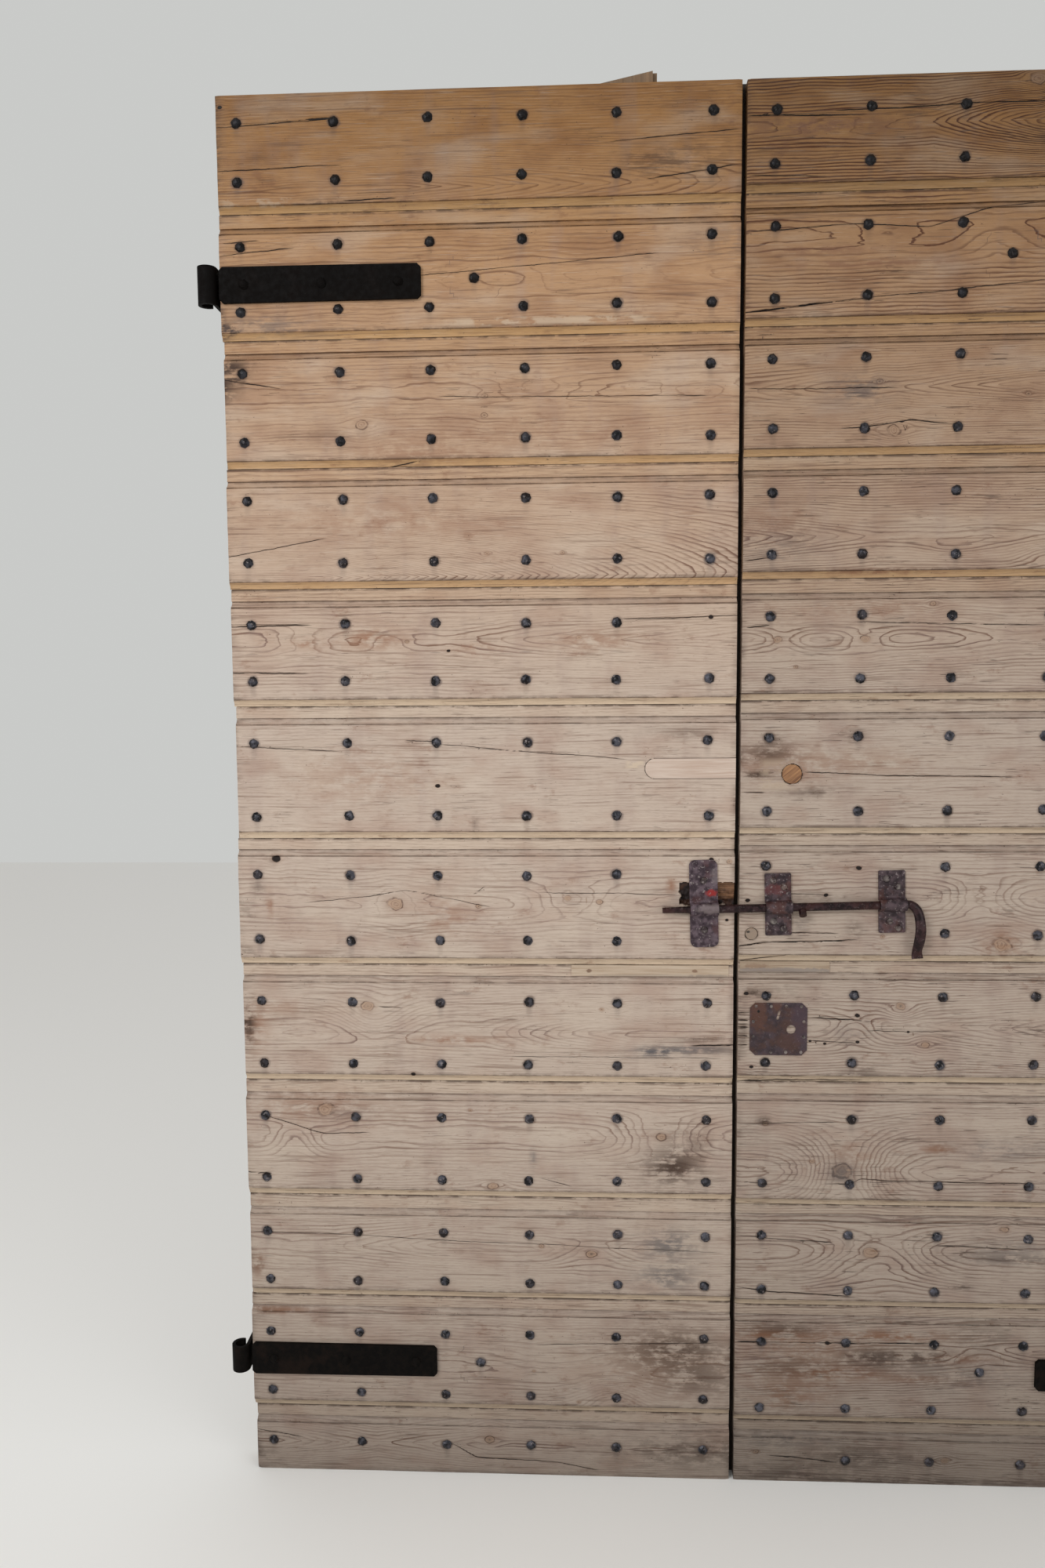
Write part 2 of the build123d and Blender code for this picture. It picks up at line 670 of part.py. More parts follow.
def bolt():
    """The bolt, its keep on the left leaf and its guides on the right one."""
    keep = strap(KEEP_WIDTH, KEEP_UP, KEEP_DOWN, KEEP_CORNER, KEEP_FIXINGS)
    save("bolt_keep", BOLT_FRAME * Pos(KEEP_AT, 0, 0) * keep)
    places = [
        ("left", GUIDE_LEFT_AT, LEFT_GUIDE_FIXINGS),
        ("right", GUIDE_RIGHT_AT, RIGHT_GUIDE_FIXINGS),
    ]
    fixings = []
    for name, at, guide_fixings in places:
        guide = strap(GUIDE_WIDTH, GUIDE_UP, GUIDE_DOWN, GUIDE_CORNER, guide_fixings)
        save(f"bolt_guide_{name}", BOLT_FRAME * Pos(at, 0, 0) * guide)
        fixings += [(at + along, height) for along, height in guide_fixings]
    driven = fixing()
    save("guide_fixings", Compound([BOLT_FRAME * Pos(x, 0, z) * driven for x, z in fixings]))
    keep_fixings = [BOLT_FRAME * Pos(KEEP_AT + x, 0, z) * driven for x, z in KEEP_FIXINGS]
    save("keep_nails", Compound(keep_fixings))
    save("bolt_bar", BOLT_FRAME * bolt_bar())
    pin = stop_pin(STOP_SHANK, BAR_RADIUS - STOP_HOLE_DEPTH + STOP_CLEARANCE, BAR_RADIUS)
    pin += stop_pin(STOP_RADIUS, BAR_RADIUS, STOP_REACH)
    save("bolt_stop_pin", BOLT_FRAME * pin)


# Lock cover


def tack_places():
    """Where the cover's tacks are: a row along its top and foot, two at each side."""
    width = COVER_WIDTH - 2 * TACK_INSET
    height = COVER_HEIGHT - 2 * TACK_INSET
    places = []
    for i in range(TACK_ROW):
        share = i / (TACK_ROW - 1)
        across = TACK_INSET + COVER_CORNER / 2 + (width - COVER_CORNER) * share
        places += [(across, TACK_INSET - COVER_HEIGHT), (across, -TACK_INSET)]
        if 0 < i < TACK_ROW - 1:
            up = TACK_INSET - COVER_HEIGHT + height * share
            places += [(TACK_INSET, up), (COVER_WIDTH - TACK_INSET, up)]
    return places


def lock_cover():
    """The sheet iron plate over the lock's old place, with its tacks."""
    sheet = Pos(COVER_WIDTH / 2, -COVER_HEIGHT / 2) * chamfer(
        Rectangle(COVER_WIDTH, COVER_HEIGHT).vertices(), COVER_CORNER
    )
    sheet -= Pos(COVER_HOLE_ACROSS, -COVER_HOLE_DOWN) * Circle(COVER_HOLE_RADIUS)
    slit = SlotOverall(COVER_SLIT_LENGTH, COVER_SLIT_WIDTH, rotation=90 - COVER_SLIT_LEAN)
    sheet -= Pos(COVER_SLIT_ACROSS, -COVER_SLIT_DOWN) * slit
    tack = Pos(0, -COVER_THICKNESS, 0) * (
        extrude(Plane.XZ * Circle(TACK_RADIUS), amount=TACK_HEIGHT)
        + extrude(Plane.XZ * Rectangle(TACK_SHANK, TACK_SHANK), amount=-TACK_LENGTH)
    )
    for x, z in tack_places():
        sheet -= Pos(x, z) * Circle(TACK_HOLE_RADIUS)
    top = board_top(RIGHT_BOARD_HEIGHTS, COVER_BOARD_NUMBER) - COVER_DROP
    corner = Pos(COVER_LEFT, FACE_Y, top)
    save("lock_cover_plate", corner * extrude(Plane.XZ * sheet, amount=COVER_THICKNESS))
    save("lock_cover_tacks", Compound([corner * Pos(x, 0, z) * tack for x, z in tack_places()]))


# Repairs


def strip_pocket(heights, bands, start, end):
    """What was cut from a band for the new strip."""
    foot = board_top(heights, STRIP_BOARD_NUMBER)
    top = foot + own(bands, STRIP_BOARD_NUMBER - 1)
    return band_block(start, end, 0, STRIP_POCKET, foot, top)


def joint_strip(heights, bands, start, end):
    """The new strip in its pocket, with a gap under it and a little proud of the band."""
    foot = board_top(heights, STRIP_BOARD_NUMBER)
    top = foot + own(bands, STRIP_BOARD_NUMBER - 1) - REPAIR_FIT
    return band_block(
        start, end, BAND_DEPTH - STRIP_PROUD, STRIP_POCKET, foot + STRIP_GAP, top
    )


left_repairs = [
    (PATCH_BOARD_NUMBER, patch(0)),
    (BOLT_BOARD_NUMBER, mortise()),
    (
        STRIP_BOARD_NUMBER,
        strip_pocket(LEFT_BOARD_HEIGHTS, LEFT_BANDS, LEFT_STRIP_START, -HALF_GAP),
    ),
]
right_repairs = [
    (LARGE_PLUG_BOARD_NUMBER, large_plug(0)),
    (SMALL_PLUG_BOARD_NUMBER, small_plug(0)),
    (
        STRIP_BOARD_NUMBER,
        strip_pocket(
            RIGHT_BOARD_HEIGHTS, RIGHT_BANDS, HALF_GAP, RIGHT_STRIP_END + STRIP_END_GAP
        ),
    ),
]
front_boards(
    "left",
    LEFT,
    LEFT_BOARD_HEIGHTS,
    LEFT_BANDS,
    LEFT_END_GAPS,
    LEFT_EMPTY_HOLES,
    left_repairs,
)
front_boards(
    "right",
    RIGHT,
    RIGHT_BOARD_HEIGHTS,
    RIGHT_BANDS,
    RIGHT_END_GAPS,
    RIGHT_EMPTY_HOLES,
    right_repairs,
)
rear_boards("left", LEFT, LEFT_REAR_TOPS, HALF_WIDTH + MEETING_REACH)
rear_boards("right", RIGHT, RIGHT_REAR_TOPS, HALF_WIDTH - MEETING_REACH - MEETING_CLEARANCE)
leaf_nails(
    "left",
    LEFT,
    LEFT_BOARD_HEIGHTS,
    LEFT_NAIL_EDGES,
    LEFT_NAIL_STRAYS,
    LEFT_UPPER_ROWS,
    LEFT_LOWER_ROWS,
    LEFT_MISSING,
    LEFT_ADDED,
)
leaf_nails(
    "right",
    RIGHT,
    RIGHT_BOARD_HEIGHTS,
    RIGHT_NAIL_EDGES,
    RIGHT_NAIL_STRAYS,
    RIGHT_UPPER_ROWS,
    RIGHT_LOWER_ROWS,
    RIGHT_MISSING,
    RIGHT_ADDED,
)
hinges(
    "left",
    LEFT,
    hinge_heights(LEFT_BOARD_HEIGHTS, LEFT_UPPER_ROWS, LEFT_LOWER_ROWS, LEFT_HINGE_RISES),
)
hinges(
    "right",
    RIGHT,
    hinge_heights(RIGHT_BOARD_HEIGHTS, RIGHT_UPPER_ROWS, RIGHT_LOWER_ROWS, RIGHT_HINGE_RISES),
)
bolt()
lock_cover()
save("wood_patch", patch(REPAIR_FIT))
save("wood_plugs", Compound([large_plug(REPAIR_FIT), small_plug(REPAIR_FIT)]))
save(
    "left_joint_strip",
    joint_strip(LEFT_BOARD_HEIGHTS, LEFT_BANDS, LEFT_STRIP_START + REPAIR_FIT, LEFT_STRIP_END),
)
save(
    "right_joint_strip",
    joint_strip(RIGHT_BOARD_HEIGHTS, RIGHT_BANDS, RIGHT_STRIP_START, RIGHT_STRIP_END),
)
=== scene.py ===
import math

import bmesh
import bpy
import numpy as np
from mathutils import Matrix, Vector


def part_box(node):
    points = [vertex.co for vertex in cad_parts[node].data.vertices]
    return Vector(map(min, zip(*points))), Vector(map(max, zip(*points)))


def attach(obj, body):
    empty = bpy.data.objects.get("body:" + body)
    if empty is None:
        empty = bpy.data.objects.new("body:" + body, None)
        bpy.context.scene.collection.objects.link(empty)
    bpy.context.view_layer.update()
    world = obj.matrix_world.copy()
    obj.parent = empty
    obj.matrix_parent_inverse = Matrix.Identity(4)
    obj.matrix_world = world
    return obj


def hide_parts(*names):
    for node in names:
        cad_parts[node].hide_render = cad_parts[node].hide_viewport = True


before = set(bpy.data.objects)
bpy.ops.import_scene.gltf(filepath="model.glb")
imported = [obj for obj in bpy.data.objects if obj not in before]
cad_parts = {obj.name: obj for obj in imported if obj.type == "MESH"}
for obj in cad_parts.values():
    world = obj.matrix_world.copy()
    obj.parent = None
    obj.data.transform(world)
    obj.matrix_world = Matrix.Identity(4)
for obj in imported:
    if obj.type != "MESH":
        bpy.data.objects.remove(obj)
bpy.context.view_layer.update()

# Rear boards
# Ten upright pine boards, tongued and grooved, to which the front is nailed. They were
# sawn and never planed, and have gone grey-brown behind. In the gap between the leaves
# they are painted almost black, as painted shade.

MM = 0.001


class Finish:
    """A node material in the making. Each call adds nodes and returns their output."""

    def __init__(self, name):
        self.material = bpy.data.materials.new(name)
        self.material.use_nodes = True
        self.tree = self.material.node_tree
        self.shader = self.tree.nodes["Principled BSDF"]
        self.at = self.add("ShaderNodeTexCoord", {}, "Object")
        self.colour = None

    def add(self, kind, inputs, output=0, **settings):
        node = self.tree.nodes.new(kind)
        for name, value in settings.items():
            setattr(node, name, value)
        for name, value in inputs.items():
            self.feed(node.inputs[name], value)
        return node.outputs[output]

    def feed(self, socket, value):
        if isinstance(value, bpy.types.NodeSocket):
            self.tree.links.new(value, socket)
        else:
            socket.default_value = value

    def math(self, operation, a, b=0.0, **settings):
        return self.add("ShaderNodeMath", {0: a, 1: b}, operation=operation, **settings)

    def plus(self, a, b):
        return self.math("ADD", a, b)

    def minus(self, a, b):
        return self.math("SUBTRACT", a, b)

    def times(self, a, b):
        return self.math("MULTIPLY", a, b)

    def vector(self, operation, a, b):
        return self.add("ShaderNodeVectorMath", {0: a, 1: b}, operation=operation)

    def split(self, place):
        """The three numbers of a place or of an attribute."""
        return list(self.add("ShaderNodeSeparateXYZ", {0: place}).node.outputs)

    def attribute(self, name):
        """The three numbers that a mesh holds under a name."""
        return self.split(self.add("ShaderNodeAttribute", {}, "Vector", attribute_name=name))

    def stretched(self, x, y, z, shift=0.0):
        """The place on the object, drawn out by three factors and shifted."""
        moved = self.vector("MULTIPLY", self.at, (x, y, z))
        push = self.add("ShaderNodeCombineXYZ", {0: shift, 1: shift, 2: shift})
        return self.vector("ADD", moved, push)

    def noise(self, place, detail, roughness=0.5):
        inputs = {"Vector": place, "Scale": 1.0, "Detail": detail, "Roughness": roughness}
        return self.add("ShaderNodeTexNoise", inputs)

    def step(self, value, low, high, a=0.0, b=1.0):
        """Goes smoothly from a to b as a value goes from low to high."""
        inputs = {"Value": value, "From Min": low, "From Max": high, "To Min": a, "To Max": b}
        return self.add("ShaderNodeMapRange", inputs, interpolation_type="SMOOTHSTEP")

    def mix(self, share, a, b, blend="MIX"):
        made = self.add("ShaderNodeMix", {}, 2, data_type="RGBA", blend_type=blend)
        for socket, value in ((0, share), (6, a), (7, b)):
            self.feed(made.node.inputs[socket], value)
        return made

    def tinge(self, share, tint):
        """Lays a tint over the colour so far, as thickly as the share says."""
        self.colour = self.mix(share, self.colour, tint)

    def patches(self, places):
        """Lays on rough-edged ovals of a tint, with their centres and sizes in mm."""
        for x, z, wide, high, tint, share in places:
            centre = self.add("ShaderNodeCombineXYZ", {0: x * MM, 2: z * MM})
            away = self.vector("SUBTRACT", self.at, centre)
            away = self.vector("MULTIPLY", away, (1 / MM / wide, 0.0, 1 / MM / high))
            reach = self.add("ShaderNodeVectorMath", {0: away}, "Value", operation="LENGTH")
            ragged = self.noise(self.stretched(160, 160, 160), 3, 0.65)
            reach = self.plus(reach, self.times(ragged, 1.4))
            self.tinge(self.step(reach, 1.35, 1.95, share, 0.0), tint)

    def surface(self, roughness, height, depth, gloss=0.5):
        """Ties the colour and a relief to the shader. Depth is in metres."""
        bump = self.add("ShaderNodeBump", {"Height": height, "Distance": depth, "Strength": 1.0})
        self.feed(self.shader.inputs["Base Color"], self.colour)
        self.feed(self.shader.inputs["Roughness"], roughness)
        self.feed(self.shader.inputs["Normal"], bump)
        self.shader.inputs["Specular IOR Level"].default_value = gloss


def rgb(red, green, blue):
    """A colour, given as it looks on a screen, from 0 to 255."""
    return (*[(v / 255) ** 2.2 for v in (red, green, blue)], 1.0)


def paint(names, material):
    """Gives a material to nodes that are shown as they are."""
    for name in names:
        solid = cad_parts[name]
        solid.data.materials.clear()
        solid.data.materials.append(material)


def rear_pine():
    finish = Finish("rear_pine_sawn")
    fibre = finish.noise(finish.stretched(380, 380, 5), 5, 0.6)
    broad = finish.noise(finish.stretched(14, 14, 1.2), 3)
    saw = finish.noise(finish.stretched(4, 4, 240), 2)
    finish.colour = finish.mix(finish.step(fibre, 0.3, 0.75), rgb(96, 74, 54), rgb(142, 112, 82))
    finish.tinge(finish.step(broad, 0.35, 0.7), rgb(120, 104, 88))
    finish.tinge(finish.step(saw, 0.62, 0.8, 0, 0.4), rgb(70, 54, 42))
    beside, behind, _ = finish.split(finish.at)
    # Painted shade: the rear boards' front face shows almost black through the gap between the leaves
    gap_shade = finish.step(finish.math("ABSOLUTE", beside), 0.007, 0.014, 0.93, 0)
    gap_shade = finish.times(gap_shade, finish.step(behind, 0.013, 0.02, 1, 0))
    finish.tinge(gap_shade, rgb(22, 17, 15))
    finish.surface(0.85, fibre, 0.0012)
    return finish.material


paint([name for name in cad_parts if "rear_board" in name], rear_pine())

# Front boards
# Twenty-four boards of old pine, planed to a profile: a band and a cove along the top,
# a rounded strip along the bottom lip. They were scrubbed clean, so that the growth
# rings stand out, and the wood keeps its knots, shakes and stains.

BOARD_THICKNESS = 0.024
BAND_DEPTH = 0.005
COVE_DEPTH = 0.008
COVE_HEIGHT = 0.0093
COVE_HOLLOW = 0.0016
TONGUE_DEPTH = 0.010
TONGUE_HEIGHT = 0.010
LIP_BACK = 0.0097
SHOULDER_RISE = 0.0107
STRIP_HEIGHT = 0.009
STRIP_ROUND = 0.0012
QUIRK_WIDTH = 0.0018
QUIRK_DEPTH = 0.0016
EDGE_DEPTH = 0.002
EDGE_HEIGHT = 0.001
CURVE_POINTS = 6
BOARD_STEP = 0.005
FINE_STEP = 0.0012
FINE_MARGIN = 0.003
END_WEAR = 0.0012
FACE_WAVER = 0.00025
STRIP_WAVER = 0.0004
CRACK_DEPTH = 0.0016
POCKET_FLOOR = 0.0004
LONGEST_PLUG = 0.05
PAST_PATCH = 0.05
WAVES = 6
# In mm: how far the marks of cracks and of nails reach, and the widest late wood
CRACK_REACH = 7
NAIL_REACH = 42
LATE_WOOD = 4.5
# How strongly the fine dark checks along the grain show on each leaf
CHECKS = {"left": 0.35, "right": 0.6}
# Painted shade on the wood, from the foot to the top: it is darker towards both
SHADE_BY_HEIGHT = (
    [0, 0.1, 0.3, 0.6, 1.05, 1.5, 1.85, 2.1],
    [0.44, 0.555, 0.70, 0.84, 0.915, 0.89, 0.80, 0.53],
)


def arc(start, end, rise):
    """Points back along a shallow curve, as depth and height, without its end."""
    points = []
    length = math.dist(start, end)
    side = (-(end[1] - start[1]) / length, (end[0] - start[0]) / length)
    for i in reversed(range(CURVE_POINTS)):
        t = i / CURVE_POINTS
        bow = 4 * rise * t * (1 - t)
        depth = start[0] + (end[0] - start[0]) * t + side[0] * bow
        height = start[1] + (end[1] - start[1]) * t + side[1] * bow
        points.append((depth, height))
    return points


def spread(low, high, step, fine):
    """Places from low to high: a step apart, and closer where fine work is."""
    places = list(np.linspace(low, high, max(2, round((high - low) / step) + 1)))
    for centre, reach in fine:
        count = math.ceil(reach / FINE_STEP)
        near = [centre + i * FINE_STEP for i in range(-count, count + 1)]
        places = [p for p in places if abs(p - centre) > (count + 0.5) * FINE_STEP]
        places += [p for p in near if low + FINE_STEP < p < high - FINE_STEP]
    places = sorted(set([low, high] + places))
    kept = [places[0]]
    for place in places[1:-1]:
        if place - kept[-1] > FINE_STEP * 0.6:
            kept.append(place)
    return kept + [high]


def board_rows(top, ledge, lip, foot, fine):
    """A board's outline as depth and height, from its lowest front edge round to its
    back, and the part of the moulding that each point is on. The first board has no
    band, so no top, and the last one has no lip."""
    rows, parts = [], []

    def along(part, points):
        rows.extend(points)
        parts.extend([part] * len(points))

    def quirk(high):
        along("quirk", [(QUIRK_DEPTH, high - QUIRK_WIDTH / 2), (0, high)])

    if lip is None:
        along("face", [(EDGE_DEPTH, foot)])
        low = foot + EDGE_HEIGHT
    else:
        along("back", [(LIP_BACK, lip)])
        along("strip", [(BAND_DEPTH, lip)])
        along("strip", arc((0, lip + STRIP_HEIGHT), (BAND_DEPTH, lip), STRIP_ROUND))
        low = lip + STRIP_HEIGHT + QUIRK_WIDTH
        quirk(low)
    high = ledge - EDGE_HEIGHT if top is None else top - COVE_HEIGHT - QUIRK_WIDTH
    along("face", [(0, z) for z in spread(low, high, BOARD_STEP, fine)][1:])
    if top is None:
        along("face", [(EDGE_DEPTH, ledge), (BOARD_THICKNESS, ledge)])
    else:
        quirk(top - COVE_HEIGHT)
        along("cove", arc((COVE_DEPTH, top), (0, top - COVE_HEIGHT), COVE_HOLLOW))
        along("band", [(BAND_DEPTH, z) for z in np.linspace(top, ledge, 5)])
        along("back", [(TONGUE_DEPTH, ledge), (TONGUE_DEPTH, ledge + TONGUE_HEIGHT)])
        along("back", [(BOARD_THICKNESS, ledge + TONGUE_HEIGHT)])
    if lip is None:
        along("back", [(BOARD_THICKNESS, foot)])
    else:
        along("back", [(depth, lip + SHOULDER_RISE) for depth in (BOARD_THICKNESS, LIP_BACK)])
    return rows, parts


def waves(x, z, seed, size):
    """Soft random hills over a surface, about one high, with hills of a given size."""
    draw = np.random.default_rng(seed)
    total = np.zeros_like(x)
    for _ in range(WAVES):
        angle = draw.uniform(0, math.tau)
        reach = size * draw.uniform(0.6, 1.6)
        turn = draw.uniform(0, math.tau)
        across = x * math.cos(angle) + z * math.sin(angle)
        total += np.sin(across * math.tau / reach + turn)
    return total / WAVES


def ring_phase(x, drop, figure, knots, seed):
    """How many growth rings lie between the pith and a place on a board, in mm. Flames
    draw the rings out to points, and ovals close them into islands."""
    for at, down, radius, _ in knots:
        away = drop - down
        reach = ((x - at) / (2.8 * radius)) ** 2 + np.abs(away) / (4 * radius)
        drop = drop - 1.3 * radius * np.exp(-reach) * np.tanh(away / (0.5 * radius))
    pith = figure["pith"] + figure.get("slant", 0) * (x - x.mean())
    pith = pith + figure.get("wander", 4) * waves(x, x * 0, seed, 520)
    radius = np.hypot(drop - pith, figure["height"])
    radius = radius + 2.0 * waves(x, drop * 4, seed + 1, 190)
    phase = radius / figure["spacing"]
    fade = np.clip(1 - np.abs(drop - pith) / figure.get("fade", 70), 0, 1)
    for start, end, rings in figure.get("flames", []):
        share = np.clip((x - start) / (end - start), 0, 1) - (rings > 0)
        phase = phase + rings * share * fade
    for at, down, length, breadth, rings in figure.get("ovals", []):
        reach = ((x - at) / length) ** 2 + ((drop - down) / breadth) ** 2
        phase = phase + rings * np.exp(-reach)
    return phase


def ring_density(phase, columns, height):
    """How many rings there are to a millimetre."""
    along, across = np.gradient(phase, axis=0), np.gradient(phase, axis=1)
    along = along / np.gradient(columns / MM)[:, None]
    across = across / np.maximum(0.3, np.abs(np.gradient(height / MM)))[None, :]
    return np.hypot(along, across)


def crack_line(x, drop, points, seed):
    """The distance below a crack in mm, and its strength, which fades at its ends."""
    xs, downs = zip(*points)
    line = np.interp(x, xs, downs)
    line = line + 1.3 * waves(x, x * 0, seed, 130) + 0.5 * waves(x, x * 0, seed, 28)
    fade = min(25, (xs[-1] - xs[0]) / 4)
    inside = np.clip((x - xs[0]) / fade + 0.3, 0, 1) * np.clip((xs[-1] - x) / fade + 0.3, 0, 1)
    return drop - line, inside * (0.75 + 0.5 * waves(x, x * 0, seed + 1, 60))


def islands(name):
    """The separate solids of a node, each as an array of its corners."""
    work = bmesh.new()
    work.from_mesh(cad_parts[name].data)
    bmesh.ops.remove_doubles(work, verts=work.verts, dist=1e-6)
    seen, found = set(), []
    for start in work.verts:
        if start.index in seen:
            continue
        seen.add(start.index)
        queue, members = [start], []
        while queue:
            vert = queue.pop()
            members.append(vert.co.copy())
            for edge in vert.link_edges:
                other = edge.other_vert(vert)
                if other.index not in seen:
                    seen.add(other.index)
                    queue.append(other)
        found.append(np.array(members))
    work.free()
    return found


def head_centre(corners):
    """Where a nail's head is, as X and Z: the middle of its foremost corners."""
    return corners[corners[:, 1] < corners[:, 1].min() + 1e-5][:, [0, 2]].mean(0)


nail_places = [head_centre(nail) for node in ("left_nails", "right_nails") for nail in islands(node)]
let_in = [(plug.min(0), plug.max(0)) for plug in islands("wood_plugs")]
let_in.append([np.array(corner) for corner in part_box("wood_patch")])


def is_plug(low, high):
    return high[0] - low[0] < LONGEST_PLUG


def outside_pocket(x, z, low, high):
    """How far outside a let-in piece a place is, in metres. Its left end is round, and
    its right end too where it is a plug."""
    half = (high[2] - low[2]) / 2
    left = low[0] + half
    right = max(left, high[0] - half) if is_plug(low, high) else high[0] + PAST_PATCH
    across = np.maximum(0, np.maximum(left - x, x - right))
    return np.hypot(across, z - (low[2] + high[2]) / 2) - half


def skin(count, rings):
    """The facets round a body whose corners go in rings, and those that close its ends."""
    faces = []
    last = count * (rings - 1)
    for a in range(0, last, count):
        for j in range(count):
            b, k = a + count, (j + 1) % count
            faces.append((a + j, b + j, b + k, a + k))
    return faces + [tuple(range(count)), tuple(reversed(range(last, last + count)))]


def keep_nearest(found, across, under, marked):
    """Writes the way to a place, and its mark, wherever it is the nearest so far."""
    near = np.hypot(across, under) < np.hypot(found[..., 0], found[..., 1])
    found[near] = np.stack([across, under, marked], -1)[near]


class BoardMesh:
    """A front board's mesh in the making: its outline, in many columns along X. Places
    on it are in mm: X, and the drop below the board's joint line."""

    def __init__(self, name, side, number, cracks, hollows):
        self.name, self.side = name, side
        self.seed = number + (50 if side == "right" else 0)
        self.low, self.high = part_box(name)
        low, high = self.low, self.high
        self.front = low.y
        if number == 1:
            self.top, self.ledge = None, high.z
        else:
            corners = np.array([v.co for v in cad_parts[name].data.vertices])
            on_band = np.abs(corners[:, 1] - self.front - BAND_DEPTH) < 1e-5
            self.top = corners[on_band & (corners[:, 2] > (low.z + high.z) / 2), 2].min()
            self.ledge = high.z - TONGUE_HEIGHT
        self.line = self.ledge if self.top is None else self.top
        self.pockets = [
            (a, b) for a, b in let_in
            if low.x < a[0] and b[0] <= high.x and low.z < a[2] < b[2] < high.z
        ]
        fine_rows, fine_columns = self.fine_work(cracks, hollows)
        lip = None if number == 12 else low.z
        rows, parts = board_rows(self.top, self.ledge, lip, low.z, fine_rows)
        self.parts = np.array(parts)
        self.columns = np.array(spread(low.x, high.x, BOARD_STEP, fine_columns))
        depth, self.height = np.array(rows).T
        self.x, self.z = np.meshgrid(self.columns, self.height, indexing="ij")
        self.deep = np.repeat(depth[None, :], len(self.columns), axis=0)
        self.x_mm, self.drop = self.x / MM, (self.line - self.z) / MM
        self.from_end = np.minimum(self.x - low.x, high.x - self.x)
        self.dirt_and_shade = np.zeros_like(self.x)

    def fine_work(self, cracks, hollows):
        """Where rows and columns have to be close, each as a centre and a reach."""
        rows, columns = [], []
        for _, *points in cracks:
            downs = [down for _, down in points]
            centre = (max(downs) + min(downs)) / 2
            rows.append((self.line - centre * MM, ((max(downs) - min(downs)) / 2 + 2.5) * MM))
        for x0, x1, down0, down1, _, _ in hollows:
            rows.append((self.line - (down0 + down1) / 2 * MM, (down1 - down0) / 2 * MM + FINE_MARGIN))
            columns.append(((x0 + x1) / 2 * MM, (x1 - x0) / 2 * MM + FINE_MARGIN))
        for a, b in self.pockets:
            reach = (b[2] - a[2]) / 2
            rows.append(((a[2] + b[2]) / 2, reach + FINE_MARGIN))
            columns.append((a[0] + reach, reach + FINE_MARGIN))
        return rows, columns

    def on(self, part):
        return (self.parts == part)[None, :]

    def hills(self, turn, size):
        return waves(self.x, self.z, self.seed + turn, size)

    def wear_down(self):
        """Rounds the ends off, and lets the planed surfaces waver a little."""
        shown = ~self.on("back")
        ends = np.exp(-self.from_end / END_WEAR)
        self.deep += shown * END_WEAR * ends * (1 + 0.8 * self.hills(7, 0.03))
        self.deep += shown * FACE_WAVER * self.hills(3, 0.16)
        lengthwise = np.clip(waves(self.x, self.z * 0, self.seed + 5, 0.07), 0, 1)
        self.deep += self.on("strip") * STRIP_WAVER * lengthwise

    def cut_cracks(self, cracks):
        """Cuts the cracks in. Gives the distance below the nearest one, and its width."""
        crack = np.zeros(self.x.shape + (3,))
        crack[..., 0] = CRACK_REACH + 5
        for i, (width, *points) in enumerate(cracks):
            below, inside = crack_line(self.x_mm, self.drop, points, self.seed * 7 + i)
            near = np.abs(below) < np.abs(crack[..., 0])
            crack[near, 0] = below[near]
            crack[near, 1] = (inside * width * (np.abs(below) < CRACK_REACH))[near]
            groove = np.clip(1 - np.abs(below) / (width + 0.5), 0, 1) * inside
            self.deep += self.on("face") * groove * CRACK_DEPTH * width
        return crack

    def break_out(self, hollows, crack):
        """Breaks hollows out of the face, and marks their rotten wood with the cracks.
        Gives the places painted near-black: burnt wood at a hollow's left, and burnt wood with
        painted shade at its foot."""
        burnt_and_shaded = np.zeros_like(self.x)
        for x0, x1, down0, down1, near_top, near_foot in hollows:
            ragged = 6 * self.hills(11, 0.03) + 3 * self.hills(12, 0.009)
            inside = (self.x_mm > x0 + ragged) & (self.x_mm < x1 + ragged) & self.on("face")
            inside = inside & (self.drop > down0 + ragged) & (self.drop < down1 + ragged)
            share = np.clip((self.drop - down0) / (down1 - down0), 0, 1)
            cut = (near_top + (near_foot - near_top) * share) * MM
            cut = cut * (1 + 0.35 * self.hills(13, 0.02) + 0.25 * self.hills(14, 0.008))
            self.deep = np.where(inside, self.deep + cut, self.deep)
            crack[..., 2] = np.maximum(crack[..., 2], inside)
            # The foot of a hollow is burnt wood with painted shade; its left part is burnt wood
            foot = np.clip((share - 0.72) * 12, 0, 1)
            at_left = self.x_mm < x0 + 0.3 * (x1 - x0)
            burnt_and_shaded = np.maximum(burnt_and_shaded, inside * np.maximum(foot, at_left))
        return burnt_and_shaded

    def cut_pockets(self):
        """Makes room for the let-in pieces, with a dirty and uneven gap round them."""
        for a, b in self.pockets:
            outside = outside_pocket(self.x, self.z, a, b)
            gap = 0.0002 + 0.0008 * self.hills(15, 0.012)
            floor = b[1] - self.front + POCKET_FLOOR
            self.deep = np.where((outside < gap) & self.on("face"), floor, self.deep)
            dark = 0.8 if is_plug(a, b) else 0.2
            self.dirt_and_shade += dark * np.exp(-((outside / 0.002) ** 2))

    def gather_dirt_and_shade(self):
        """Paints shadow beneath the band's edge and under the lip of the board above, and lays
        dirt with painted shade in the quirks and on the board's ends.
        """
        if self.top is not None:
            under = np.clip((self.z - self.top + COVE_HEIGHT) / COVE_HEIGHT, 0, 1)
            # Painted shadow beneath the band's edge, darkest at the top of the cove
            self.dirt_and_shade += 0.5 * self.on("cove") * under**2
